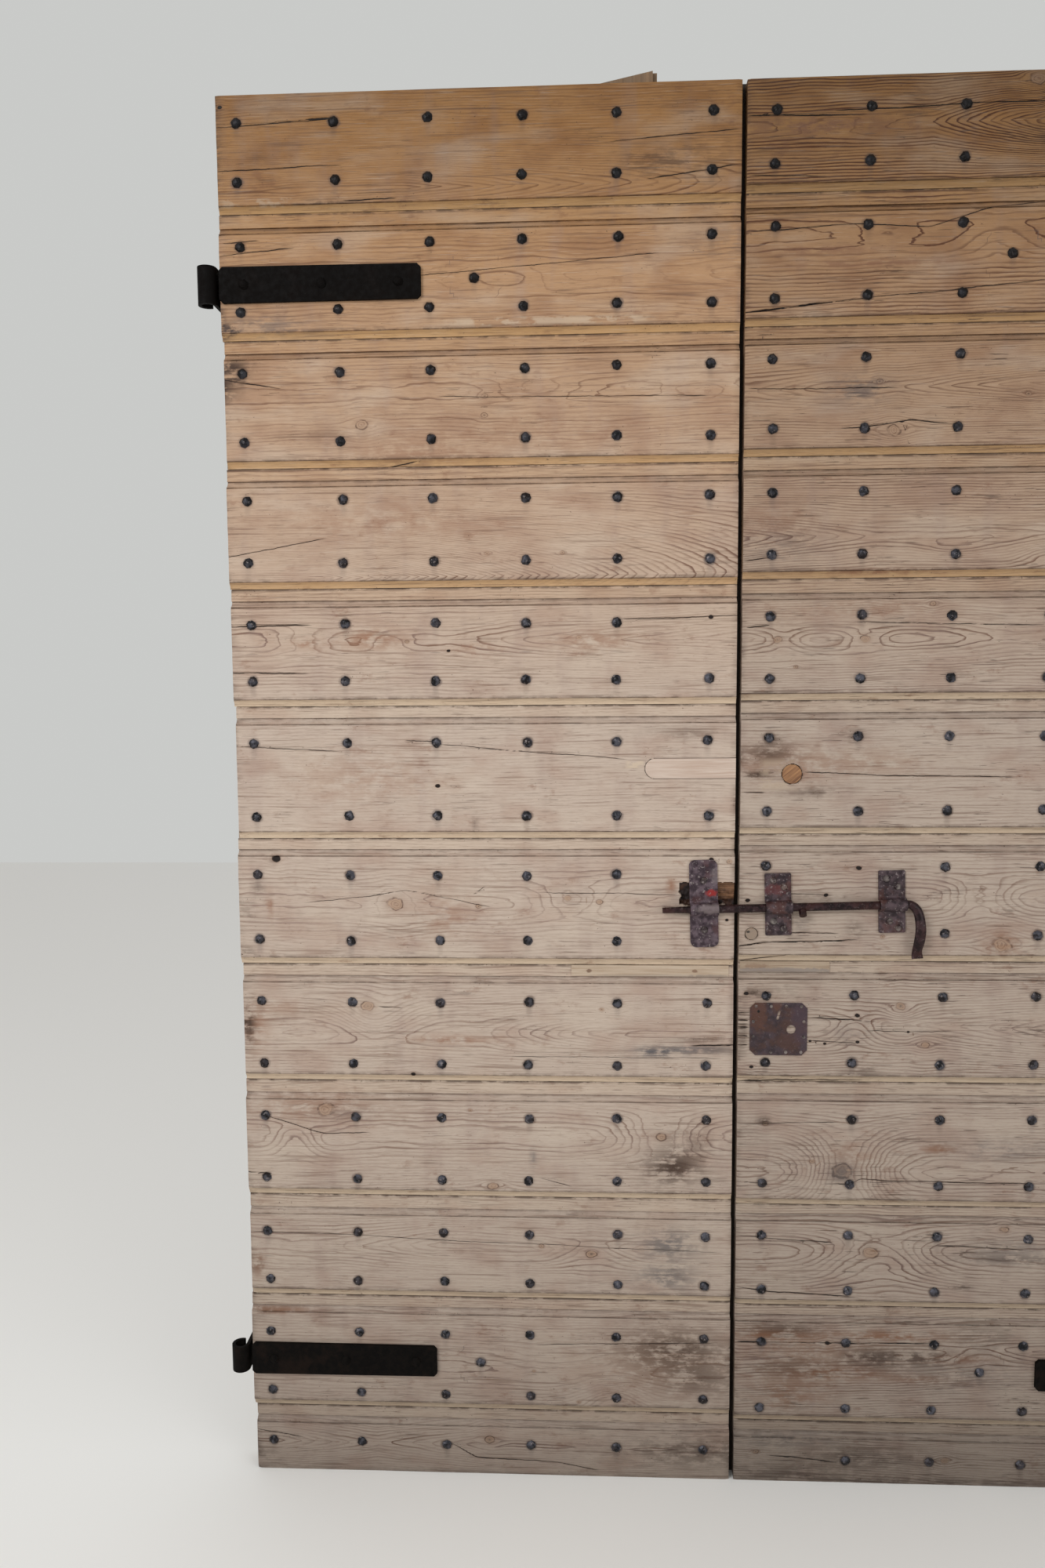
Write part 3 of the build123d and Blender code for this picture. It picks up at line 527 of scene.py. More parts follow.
            # Painted shadow under the lip of the board above, along the top of the band
            self.dirt_and_shade += 0.9 * self.on("band") * np.exp(-(((self.ledge - self.z) / 0.0016) ** 2))
        # Dirt and painted shade in the quirks and on the board's ends
        self.dirt_and_shade += 0.5 * self.on("quirk")
        self.dirt_and_shade += 0.4 * np.exp(-(self.from_end / 0.005) ** 2) * (0.6 + self.hills(9, 0.05))

    def find_knots(self, knots):
        """The way to the nearest knot in its own sizes, along and down, and its kind."""
        spot = np.full(self.x.shape + (3,), (9.0, 9.0, 0.0))
        for at, down, radius, kind in knots:
            across, under = (self.x_mm - at) / (radius * 1.15), (self.drop - down) / (radius * 0.85)
            marked = kind * (np.hypot(across, under) < 2.4 + 9 / radius)
            keep_nearest(spot, across, under, marked)
        return spot

    def find_nails(self):
        """The way to the nearest nail in mm, along and down, and how strongly its stain and painted
        shadow mark the wood.
        """
        nail = np.full(self.x.shape + (3,), (60.0, 60.0, 0.0))
        draw = np.random.default_rng(self.seed)
        low, high = self.low, self.high
        for at, level in nail_places:
            strength = draw.uniform(0.35, 1.0)
            if low.x < at < high.x and low.z - 0.03 < level < high.z + 0.03:
                beside, beneath = (self.x - at) / MM, (level - self.z) / MM
                marked = strength * (np.hypot(beside, beneath) < NAIL_REACH)
                keep_nearest(nail, beside, beneath, marked)
        return nail

    def cloud(self, places):
        """How strong soft ovals of colour are."""
        total = np.zeros_like(self.x)
        for at, down, length, breadth, strength in places:
            reach = ((self.x_mm - at) / length) ** 2 + ((self.drop - down) / breadth) ** 2
            total = total + strength * np.exp(-reach)
        return total

    def filler(self, places):
        """How strong oblong patches of pale filler are."""
        total = np.zeros_like(self.x)
        for at, down, length, breadth, strength in places:
            reach = np.maximum(np.abs(self.x_mm - at) / length, np.abs(self.drop - down) / breadth)
            total = total + strength * np.clip(4 * (1 - reach), 0, 1)
        return total

    def rings(self, figure, knots):
        """The growth ring at each place, its share of late wood, and its contrast."""
        phase = ring_phase(self.x_mm, self.drop, figure, knots, self.seed) + 100
        density = ring_density(phase, self.columns, self.height)
        fine = figure.get("fine", 0.35)
        contrast = figure["contrast"] * (fine + (1 - fine) * np.clip(2 - 8 * density, 0, 1))
        return phase, np.clip(LATE_WOOD * density, 0.1, 0.6), contrast

    def tone(self, figure):
        """How warm the wood is, how dark the painted shade makes it (towards the top and the
        foot, on the right leaf and on some boards), and how much paler and warmer the moulding is.
        """
        # Painted shade by height, made darker on the right leaf and by each board's own factor
        shade = np.interp(self.z, *SHADE_BY_HEIGHT)
        if self.side == "right":
            shade *= 0.83 - 0.07 * np.clip((self.z - 1.2) / 0.9, 0, 1)
        shade *= figure.get("shade", 1.0)
        fresh = self.on("strip") * 0.9 + self.on("band") * 0.3
        return np.clip((self.z - 1.2) / 0.85, 0, 1), shade, fresh

    def sweep(self, held):
        """Makes the mesh, with the numbers in threes that its material reads."""
        points = np.stack([self.x, self.front + self.deep, self.z], -1).reshape(-1, 3)
        mesh = bpy.data.meshes.new(f"{self.name}_pine")
        mesh.from_pydata(points.tolist(), [], skin(len(self.height), len(self.columns)))
        for key, numbers in held.items():
            values = np.zeros(self.x.shape + (3,), np.float32)
            for i, number in enumerate(numbers):
                values[..., i] = number
            made = mesh.attributes.new(key, "FLOAT_VECTOR", "POINT")
            made.data.foreach_set("vector", values.ravel())
        mesh.shade_smooth()
        mesh.set_sharp_from_angle(angle=math.radians(38))
        return mesh


def add_object(name, data):
    made = bpy.data.objects.new(name, data)
    bpy.context.scene.collection.objects.link(made)
    return made


def lay_board(
    side, number, knots=(), cracks=(), stains=(), greys=(), ruddies=(), pale=(), hollows=(), **figure
):
    """Makes one board in place of its plain solid. A knot has its place, radius and kind:
    pale at 0.3, dark-hearted at 1, a hole at 2. A crack has its width and its points. A
    stain, grey, ruddy or pale place has its place, half its length, half its breadth and
    its strength, and so has an oval of the rings. A hollow has its left, right, top and
    foot, and its depths at the last two. The figure says how the rings lie: the drop of
    the pith and how far it is off the face, their spacing, and flames along X."""
    name = f"{side}_front_board_{number:02d}"
    form = BoardMesh(name, side, number, cracks, hollows)
    form.wear_down()
    crack = form.cut_cracks(cracks)
    form.dirt_and_shade += form.cloud(stains)
    burnt_and_shaded = form.break_out(hollows, crack)
    form.cut_pockets()
    form.gather_dirt_and_shade()
    held = {
        "ring": form.rings(figure, knots),
        "spot": np.moveaxis(form.find_knots(knots), -1, 0),
        "crack": np.moveaxis(crack, -1, 0),
        "tone": form.tone(figure),
        "marks": (np.clip(form.dirt_and_shade, 0, 1), np.clip(form.filler(pale), 0, 1), form.on("band")),
        "tint": (np.clip(form.cloud(greys), 0, 1), np.clip(form.cloud(ruddies), 0, 1), burnt_and_shaded),
        "nail": np.moveaxis(form.find_nails(), -1, 0),
        "board": (form.seed, CHECKS[side], 0),
    }
    board = add_object(f"{name}_pine", form.sweep(held))
    board.data.materials.append(pine)
    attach(board, "door")
    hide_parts(name)


def front_pine():
    """Scrubbed pine: rings, fibres, knots, shakes and stains, from what each mesh holds."""
    finish = Finish("front_pine_scrubbed")
    mix, step, tinge = finish.mix, finish.step, finish.tinge
    plus, minus, times = finish.plus, finish.minus, finish.times
    ring, part, contrast = finish.attribute("ring")
    seed, checks, _ = finish.attribute("board")
    across, under, kind = finish.attribute("spot")
    below, width, rot = finish.attribute("crack")
    warm, shade, strip = finish.attribute("tone")
    dirt_and_shade, light, smooth = finish.attribute("marks")
    grey, ruddy, burnt_and_shaded = finish.attribute("tint")
    beside, beneath, nailed = finish.attribute("nail")

    def length(a, b):
        return finish.math("SQRT", plus(times(a, a), times(b, b)))

    def noise(x, y, z, detail, roughness=0.5):
        """A noise of the board's own, drawn out by three factors."""
        return finish.noise(finish.stretched(x, y, z, seed), detail, roughness)

    slow = noise(9, 9, 34, 2)
    quick = noise(30, 30, 150, 2)
    bend = noise(75, 75, 75, 2)
    grime = noise(45, 45, 90, 4, 0.6)
    fibre = noise(20, 20, 700, 3, 0.6)
    hair = noise(70, 70, 1500, 2)
    streak = noise(7, 7, 260, 3)
    patchy = noise(6, 6, 18, 3)
    blotch = noise(12, 12, 20, 3)
    upright = noise(30, 30, 6, 2)
    speck = noise(260, 260, 340, 1)
    crowd = noise(16, 16, 24, 2)

    # Late wood: it is dark, begins softly in each ring and ends sharply
    phase = ring
    for wobble, size in ((slow, 1.7), (quick, 0.55)):
        phase = plus(phase, times(minus(wobble, 0.5), size))
    share = finish.math("FRACT", phase)
    number = plus(finish.math("FLOOR", phase), seed)
    own = finish.add("ShaderNodeTexWhiteNoise", {"W": number}, noise_dimensions="1D")
    before_end = finish.math("DIVIDE", minus(1.0, share), part)
    late = times(step(before_end, 1.0, 0.25), step(before_end, 0.15, 0.0, 1, 0))
    late = times(late, step(own, 0.0, 0.8, 0.4, 1.0))
    late = times(late, step(patchy, 0.34, 0.6, 0.5, 1.0))
    late = times(late, contrast)
    late = times(late, step(strip, 0.2, 0.9, 1.0, 0.25))

    # The colour of the wood, with its fibres, streaks, dashes and smudges
    finish.colour = mix(warm, rgb(199, 181, 166), rgb(184, 134, 82))
    brown = mix(warm, rgb(180, 153, 137), rgb(152, 102, 56))
    tinge(step(blotch, 0.45, 0.7, 0, 0.6), brown)
    tinge(step(upright, 0.52, 0.72, 0, 0.2), rgb(160, 136, 128))
    tinge(step(patchy, 0.5, 0.3, 0, 0.3), rgb(212, 196, 178))
    honey = mix(step(warm, 0.0, 0.25), rgb(220, 196, 166), rgb(200, 158, 106))
    tinge(times(step(strip, 0.05, 0.8), 0.7), honey)
    dark = mix(warm, rgb(124, 93, 76), rgb(100, 56, 26))
    cool = times(step(blotch, 0.4, 0.6, 0, 0.7), step(warm, 0.0, 0.6, 1, 0))
    dark = mix(cool, dark, rgb(114, 92, 90))
    tinge(late, dark)
    tinge(step(fibre, 0.5, 0.7, 0, 0.24), rgb(132, 102, 84))
    tinge(step(hair, 0.56, 0.72, 0, 0.34), rgb(112, 84, 70))
    tinge(step(fibre, 0.44, 0.26, 0, 0.26), rgb(222, 206, 190))
    tinge(step(streak, 0.58, 0.68, 0, 0.45), rgb(112, 84, 68))
    dash = noise(18, 18, 430, 2, 0.7)
    dash = step(plus(dash, times(crowd, 0.3)), 0.79, 0.84)
    tinge(times(dash, checks), rgb(72, 52, 42))
    smudge = times(step(grime, 0.55, 0.72, 0, 0.4), step(crowd, 0.5, 0.62))
    tinge(smudge, rgb(132, 92, 72))
    tinge(times(ruddy, step(grime, 0.35, 0.6)), rgb(150, 108, 84))

    # Knots, with rings of their own, a dark rim, and a dark heart or a hole
    knotted = step(kind, 0.0, 0.3)
    reach = plus(length(across, under), times(minus(bend, 0.5), 1.1))
    turn = finish.math("FRACT", plus(times(reach, 2.6), times(bend, 1.2)))
    knot_wood = mix(step(turn, 0.5, 0.95), rgb(182, 150, 124), rgb(136, 104, 84))
    heart = times(step(reach, 0.1, 0.45, 1, 0), step(kind, 0.5, 1.0))
    knot_wood = mix(heart, knot_wood, rgb(60, 44, 36))
    inside = times(step(reach, 0.75, 1.05, 0.6, 0), knotted)
    around = times(step(reach, 0.9, 2.1, 0.25, 0), knotted)
    tinge(around, rgb(146, 112, 92))
    tinge(inside, knot_wood)
    rim = times(step(reach, 0.75, 0.95), step(reach, 1.0, 1.15, 1, 0))
    rim = times(times(rim, knotted), step(grime, 0.38, 0.62, 0.05, 0.75))
    tinge(rim, rgb(84, 60, 48))
    hole = times(step(reach, 0.8, 1.1, 1, 0), step(kind, 1.4, 1.8))

    # Pits, dirt with painted shade, grey places (one a painted sheen), pale filler, and rotten
    # or burnt wood with painted shade at a hollow's foot
    pits = plus(speck, times(step(crowd, 0.5, 0.7), 0.05))
    pits = plus(pits, times(dirt_and_shade, 0.1))
    tinge(step(pits, 0.76, 0.8, 0, 0.7), rgb(84, 64, 52))
    dry = step(plus(grime, times(streak, 0.5)), 0.62, 0.82, 0.12, 1.0)
    # Dirt, with the painted shade of the moulding and the board ends, darkens the wood
    soiled_and_shaded = finish.math("MULTIPLY", dirt_and_shade, dry, use_clamp=True)
    tinge(soiled_and_shaded, rgb(74, 56, 46))
    tinge(times(grey, dry), rgb(98, 94, 96))
    filler = times(light, step(grime, 0.42, 0.55, 0, 0.8))
    tinge(filler, rgb(212, 192, 168))
    rotten = mix(step(fibre, 0.4, 0.6), rgb(136, 100, 74), rgb(88, 62, 46))
    rotten = mix(step(bend, 0.5, 0.65, 0, 0.7), rotten, rgb(70, 50, 40))
    # Near-black for burnt wood, and for painted shade at a hollow's foot
    charred_and_shaded = mix(step(bend, 0.4, 0.6), rgb(46, 38, 38), rgb(70, 48, 38))
    rotten = mix(burnt_and_shaded, rotten, charred_and_shaded)
    tinge(rot, rotten)

    # A dark halo round each nail, partly iron stain and partly painted shadow at the head's
    # rim, and iron stain that has run down from it
    ragged = times(minus(grime, 0.5), 9)
    away = plus(length(beside, beneath), ragged)
    # Painted shadow with iron stain in a ring round the head
    halo = times(step(away, 7.0, 11.0, 0.7, 0), nailed)
    run = times(step(finish.math("ABSOLUTE", beside), 1.0, 7.0, 0.3, 0), nailed)
    run = times(run, times(step(beneath, 0, 8), step(beneath, 10, 30, 1, 0)))
    stain = mix(step(upright, 0.4, 0.6), rgb(88, 68, 60), rgb(100, 88, 86))
    tinge(finish.math("MAXIMUM", halo, run), stain)

    # Cracks, dark inside, with ragged and broken edges
    jag = noise(110, 110, 24, 3)
    off = plus(below, times(minus(jag, 0.5), 1.7))
    off = finish.math("ABSOLUTE", off)
    off = minus(off, times(width, 0.6))
    broken = step(noise(45, 45, 45, 1), 0.35, 0.5, 0.55, 1.0)
    gap = times(times(step(off, 0, 0.35, 1, 0), step(width, 0.02, 0.3)), broken)
    gap = finish.math("MAXIMUM", gap, hole)
    beside_gap = times(step(off, 0.2, 2.0, 0.3, 0), step(width, 0.1, 0.6))
    tinge(beside_gap, rgb(126, 94, 74))
    tinge(gap, rgb(34, 24, 20))
    # The painted shade that each mesh holds darkens the whole colour
    shaded = finish.add("ShaderNodeCombineXYZ", {0: shade, 1: shade, 2: shade})
    finish.colour = mix(1.0, finish.colour, shaded, "MULTIPLY")

    # The late wood stands up; fibres, cracks and the rims of knots lie low
    relief = minus(times(late, 0.5), times(fibre, 0.35))
    relief = minus(relief, times(gap, 2.5))
    relief = minus(relief, times(rim, 0.8))
    relief = times(relief, step(smooth, 0, 1, 1.0, 0.3))
    finish.surface(step(grime, 0.2, 0.8, 0.55, 0.75), relief, 0.0006, 0.3)
    return finish.material


pine = front_pine()

# The left leaf's boards, from the top down.
lay_board(
    "left", 1, pith=135, height=25, spacing=4, contrast=0.9, fine=0.5, shade=0.95,
    flames=[(-480, -10, 14)],
    cracks=[
        (0.7, (-757, 45), (-603, 38)), (0.7, (-759, 105), (-581, 101)), (0.7, (-186, 79), (-11, 68)),
        (0.9, (-132, 132), (-5, 114)), (2.0, (-622, 37), (-590, 37)), (1.2, (-570, 150), (-500, 148)),
    ],
    knots=[(-750, 17, 3, 2)],
    stains=[
        (-116, 108, 60, 20, 0.5), (-40, 100, 40, 60, 0.15), (-757, 30, 8, 90, 0.4),
        (-758, 84, 5, 3, 1.0), (-758, 120, 5, 3, 1.0), (-600, 150, 50, 4, 0.5), (-697, 88, 20, 8, 0.3),
    ],
    pale=[(-700, 150, 60, 7, 0.5)],
)
lay_board(
    "left", 2, pith=80, height=42, spacing=4.2, contrast=0.65,
    flames=[(-120, -5, -2)],
    ovals=[(-357, 80, 70, 14, 2.6)],
    cracks=[
        (0.4, (-471, 74), (-121, 50)), (0.7, (-758, 41), (-650, 30)), (0.7, (-750, 22), (-700, 20)),
    ],
    stains=[
        (-740, 142, 24, 8, 1.0), (-752, 150, 10, 6, 0.9), (-722, 168, 8, 4, 0.8),
        (-757, 130, 6, 30, 0.6),
    ],
    greys=[(-690, 141, 60, 16, 0.5), (-30, 40, 60, 25, 0.25)],
    pale=[(-278, 141, 160, 7, 0.7)],
)
lay_board(
    "left", 3, pith=62, height=24, spacing=4.4, contrast=0.75,
    ovals=[(-296, 60, 70, 14, 2.6), (-64, 62, 48, 11, 2.2), (-420, 92, 60, 12, 1.2)],
    knots=[(-372, 68, 4, 0.9), (-373, 95, 4, 0.9), (-553, 106, 8, 0.3)],
    cracks=[
        (1.0, (-765, 37), (-676, 51)), (0.4, (-439, 68), (-52, 73)), (1.3, (-510, 165), (-475, 159)),
    ],
    stains=[
        (-757, 50, 26, 26, 0.7), (-744, 20, 26, 9, 1.0), (-735, 38, 14, 6, 0.8),
        (-490, 163, 26, 5, 0.4), (-600, 120, 60, 10, 0.25),
    ],
    ruddies=[(-480, 150, 90, 22, 0.5), (-300, 120, 160, 26, 0.35)],
)
lay_board(
    "left", 4, pith=143, height=22, spacing=7, contrast=0.95, wander=2, fade=140,
    flames=[(-620, -5, 44)],
    cracks=[(0.5, (-768, 113), (-611, 85))],
    knots=[(-371, 110, 3.5, 1.0), (-260, 110, 3, 1.0), (-371, 160, 3.5, 1.0)],
    ruddies=[(-520, 60, 160, 30, 0.4)],
)
lay_board(
    "left", 5, pith=60, height=16, spacing=4.8, contrast=0.9, wander=2,
    flames=[(-420, -5, -9)],
    ovals=[(-520, 64, 34, 14, 2.4), (-650, 60, 45, 22, 3)],
    cracks=[(0.7, (-171, 32), (1, 28)), (1.0, (-764, 38), (-640, 37)), (0.9, (-764, 106), (-645, 108))],
    knots=[(-236, 58, 4, 0.8), (-42, 30, 3, 2), (-430, 76, 2.5, 2), (-492, 62, 2.5, 1)],
    ruddies=[
        (-215, 62, 60, 14, 0.6), (-545, 58, 40, 14, 0.9), (-640, 64, 26, 6, 0.8),
        (-380, 74, 30, 10, 0.6),
    ],
)
lay_board(
    "left", 6, pith=230, height=20, spacing=4.6, contrast=0.3, wander=10, fine=0.7,
    cracks=[
        (0.5, (-764, 42), (-600, 50)), (0.6, (-495, 34), (-450, 36)), (0.5, (-446, 41), (-165, 64)),
        (1.2, (-394, 148), (-390, 172)),
    ],
    knots=[(-449, 103, 3, 2)],
    stains=[(-393, 160, 5, 12, 0.5), (-74, 26, 60, 10, 0.35), (-60, 70, 50, 6, 0.2)],
    ruddies=[(-560, 90, 120, 40, 0.35)],
    pale=[(-152, 72, 14, 6, 0.9)],
)
lay_board(
    "left", 7, pith=80, height=32, spacing=4.8, contrast=0.6, fine=0.25,
    ovals=[(-247, 76, 60, 26, 4.5), (-517, 84, 36, 16, 2)],
    knots=[
        (-517, 84, 11, 0.4), (-698, 14, 6, 2), (-389, 87, 3.5, 1.0), (-254, 74, 5, 0.6),
        (-12, 18, 4, 1.0), (-39, 15, 3, 2), (-81, 73, 3, 2), (-15, 107, 2.5, 2), (-206, 80, 4, 0.5),
    ],
    cracks=[
        (0.35, (-660, 82), (-560, 72), (-500, 62), (-370, 88)), (0.6, (-396, 68), (-380, 56)),
        (0.35, (-300, 66), (-90, 68)),
    ],
    stains=[
        (-703, 16, 8, 6, 0.5), (-68, 92, 34, 6, 0.8), (-727, 60, 10, 10, 0.5), (-24, 12, 16, 8, 0.4),
        (-750, 160, 14, 8, 0.6), (-745, 100, 12, 16, 0.4),
    ],
    greys=[(-50, 76, 60, 20, 0.35)],
    ruddies=[(-444, 100, 40, 30, 0.5), (-710, 86, 3, 22, 0.9), (-98, 56, 7, 12, 0.9)],
    hollows=[(-86, -3, 50, 84, 3, 9)],
)
lay_board(
    "left", 8, pith=88, height=18, spacing=4.6, contrast=0.9, fine=0.25,
    flames=[(-385, -160, -10)],
    ovals=[(-545, 62, 60, 36, 6), (-178, 60, 26, 20, 3)],
    knots=[(-562, 47, 9, 0.7), (-493, 154, 3, 2), (-203, 50, 3, 0.9)],
    cracks=[
        (0.5, (-545, 48), (-510, 50)), (1.7, (-62, 106), (-2, 104)), (0.3, (-350, 125), (-20, 125)),
    ],
    stains=[(-748, 76, 10, 32, 1.0), (-50, 96, 40, 4, 0.6), (-30, 112, 30, 5, 0.6)],
    greys=[(-122, 116, 34, 8, 1.0), (-60, 112, 50, 8, 0.7)],
    ruddies=[(-433, 99, 60, 6, 0.8), (-740, 80, 20, 40, 0.7), (-690, 50, 30, 14, 0.4)],
)
lay_board(
    "left", 9, pith=66, height=28, spacing=4.6, contrast=0.75, fine=0.25,
    ovals=[(-112, 62, 60, 36, 7), (-371, 150, 34, 14, 1.5), (-680, 75, 34, 26, 4)],
    knots=[(-632, 26, 12, 0.3), (-371, 146, 7, 0.5), (-112, 64, 7, 0.5), (-406, 25, 2.5, 1.0)],
    cracks=[
        (0.6, (-723, 37), (-650, 60), (-633, 64), (-565, 63)), (1.4, (-764, 129), (-722, 130)),
        (0.4, (-300, 131), (-250, 146)),
    ],
    stains=[(-96, 116, 44, 26, 0.9), (-70, 80, 40, 30, 0.4), (-755, 150, 20, 14, 0.3)],
    greys=[(-309, 100, 5, 14, 0.6), (-600, 30, 50, 12, 0.3)],
    ruddies=[(-640, 20, 110, 26, 0.5)],
)
lay_board(
    "left", 10, pith=60, height=24, spacing=4.4, contrast=0.75,
    flames=[(-620, -455, -5)],
    ovals=[(-219, 68, 54, 24, 4.5)],
    knots=[(-219, 68, 7, 0.9), (-297, 56, 4, 0.8)],
    cracks=[
        (0.35, (-756, 39), (-580, 43), (-430, 50), (-220, 56), (-20, 62)),
        (1.1, (-752, 149), (-665, 143)),
    ],
    stains=[(-745, 92, 14, 16, 0.35)],
    greys=[(-100, 50, 44, 24, 0.75), (-104, 104, 46, 22, 0.7)],
    ruddies=[(-744, 92, 12, 18, 0.9)],
)
lay_board(
    "left", 11, pith=95, height=34, spacing=4.5, contrast=0.75,
    ovals=[(-185, 142, 50, 34, 6), (-300, 80, 80, 22, 2)],
    cracks=[(0.5, (-310, 56), (-30, 48))],
    knots=[(-240, 150, 3, 1.0), (-310, 100, 3, 0.8)],
    stains=[(-90, 60, 80, 34, 0.75), (-50, 110, 60, 26, 0.5), (-745, 14, 24, 8, 0.3)],
    ruddies=[(-720, 8, 60, 5, 0.9), (-110, 80, 90, 50, 0.5)],
)

lay_board(
    "left", 12, pith=40, height=12, spacing=4.2, contrast=1.0, wander=2,
    flames=[(-720, -560, 6), (-560, -400, -6)],
    knots=[(-381, 32, 7, 0.9)],
    cracks=[(0.9, (-440, 40), (-402, 62), (-268, 68), (-213, 78)), (0.6, (-760, 22), (-684, 34))],
    stains=[(-757, 70, 30, 20, 0.5), (-60, 44, 110, 26, 0.6), (-400, 90, 300, 6, 0.4)],
)

# The right leaf's boards, from the top down. The photograph ends three fifths along them.
lay_board(
    "right", 1, pith=66, height=13, spacing=4.2, contrast=1.6, shade=0.93, wander=2, fine=1.0,
    flames=[(262, 440, -12)],
    ovals=[(120, 66, 70, 12, 2.5)],
    knots=[(405, 12, 9, 0.4), (620, 90, 9, 0.8)],
    cracks=[
        (1.0, (10, 50), (45, 51), (165, 54)), (0.8, (130, 47), (306, 43), (440, 41)),
        (0.6, (10, 131), (110, 135)),
    ],
    ruddies=[(100, 66, 110, 14, 0.9)],
    stains=[(420, 90, 30, 20, 0.4)],
)
lay_board(
    "right", 2, pith=42, height=28, spacing=5, contrast=1.3, wander=3, fine=0.35,
    ovals=[(205, 40, 56, 14, 2.4), (360, 50, 56, 26, 3), (560, 90, 70, 18, 3)],
    cracks=[
        (0.8, (11, 145), (172, 129), (303, 120), (423, 109)), (1.9, (4, 145.5), (120, 134)),
        (0.7, (10, 34), (160, 28), (262, 33), (350, 8), (419, 1)),
    ],
    ruddies=[(112, 62, 90, 6, 0.8), (180, 82, 130, 5, 0.8)],
)
lay_board(
    "right", 3, pith=72, height=13, spacing=4.3, contrast=0.9, wander=2, fine=0.6,
    flames=[(225, 460, -6), (10, 120, -3)],
    ovals=[(560, 75, 60, 20, 2.5)],
    knots=[(217, 133, 9, 0.3), (195, 64, 4, 1.0), (405, 85, 3.5, 1.0), (640, 60, 8, 0.8)],
    cracks=[
        (0.8, (145, 129), (176, 127), (240, 119), (300, 125)),
        (0.9, (228, 122), (236, 140), (238, 152)), (0.6, (12, 71), (220, 73)),
    ],
    greys=[(170, 74, 44, 20, 0.6)],
)
lay_board(
    "right", 4, pith=98, height=14, spacing=4.0, contrast=1.0, wander=2, fine=0.7,
    flames=[(0, 190, 6)],
    ovals=[(304, 117, 50, 14, -2.5), (440, 125, 40, 18, 4)],
    knots=[(520, 70, 9, 0.9)],
    ruddies=[(45, 80, 60, 26, 0.5), (190, 148, 90, 4, 0.9)],
    greys=[(50, 110, 60, 30, 0.35)],
    cracks=[(0.8, (8, 131), (40, 126))],
)
lay_board(
    "right", 5, pith=68, height=19, spacing=4.3, contrast=0.9, wander=2, fine=0.6,
    flames=[(190, 400, 4)],
    ovals=[(62, 68, 30, 18, 3), (182, 68, 34, 16, 3.5), (600, 70, 60, 20, 3)],
    knots=[(55, 68, 6, 0.8), (182, 68, 6, 0.6), (279, 18, 4, 0.8), (82, 108, 2.5, 1.0)],
    cracks=[(0.35, (165, 43), (430, 50)), (1.0, (12, 50), (42, 47))],
    ruddies=[(180, 24, 120, 12, 0.4)],
)
lay_board(
    "right", 6, pith=230, height=20, spacing=4.8, contrast=0.5, wander=8,
    cracks=[(0.7, (100, 88), (196, 93), (400, 97)), (0.9, (8, 118), (38, 119))],
    knots=[(560, 120, 10, 0.9)],
    stains=[
        (30, 92, 26, 5, 1.0), (45, 60, 40, 16, 0.7), (45, 38, 14, 6, 0.9), (172, 35, 12, 8, 0.8),
        (110, 118, 50, 8, 0.5),
    ],
    ruddies=[(60, 75, 70, 30, 0.6), (190, 75, 90, 20, 0.4)],
    pale=[(60, 92, 30, 26, 0.5)],
)
lay_board(
    "right", 7, pith=80, height=26, spacing=4.4, contrast=0.7,
    ovals=[(360, 80, 46, 32, 5)],
    knots=[(392, 150, 13, 0.3), (180, 34, 3.5, 2), (16, 83, 3, 2), (217, 138, 3, 0.8), (132, 75, 3, 2)],
    cracks=[
        (0.9, (11, 152), (47, 147), (176, 143)), (2.0, (4, 153), (46, 147)), (1.0, (8, 176), (80, 166)),
        (0.7, (75, 132), (150, 134)), (0.5, (40, 70), (140, 76)),
    ],
    stains=[(110, 78, 60, 8, 0.35), (94, 112, 14, 12, 0.25), (175, 128, 12, 16, 0.5)],
    ruddies=[(392, 150, 26, 20, 0.9)],
    greys=[(94, 122, 12, 14, 0.3)],
)
lay_board(
    "right", 8, pith=82, height=17, spacing=4.3, contrast=0.9, wander=2, fine=0.6,
    flames=[(300, 560, -8)],
    ovals=[(178, 92, 34, 30, 4), (250, 50, 30, 20, 2)],
    knots=[
        (246, 50, 7, 0.9), (284, 110, 6, 0.4), (182, 65, 3.5, 2), (183, 106, 2.5, 2), (134, 109, 2, 2),
        (112, 105, 2, 2), (258, 90, 2, 2), (15, 32, 3, 2), (24, 146, 2.5, 2), (600, 100, 9, 0.9),
    ],
    cracks=[
        (0.8, (108, 68), (150, 70), (196, 74)), (0.6, (108, 104), (180, 108)),
        (0.35, (190, 88), (330, 90)), (1.4, (3, 62), (19, 62)), (1.4, (3, 74), (16, 74)),
        (1.4, (3, 84), (18, 84)), (1.4, (3, 98), (16, 98)), (1.4, (3, 112), (17, 112)),
        (1.2, (3, 170), (60, 168), (190, 166)),
    ],
    stains=[(12, 90, 6, 40, 0.5), (24, 32, 14, 6, 0.8), (60, 30, 50, 10, 0.3), (190, 150, 30, 8, 0.5)],
    greys=[(170, 94, 30, 20, 0.25)],
)
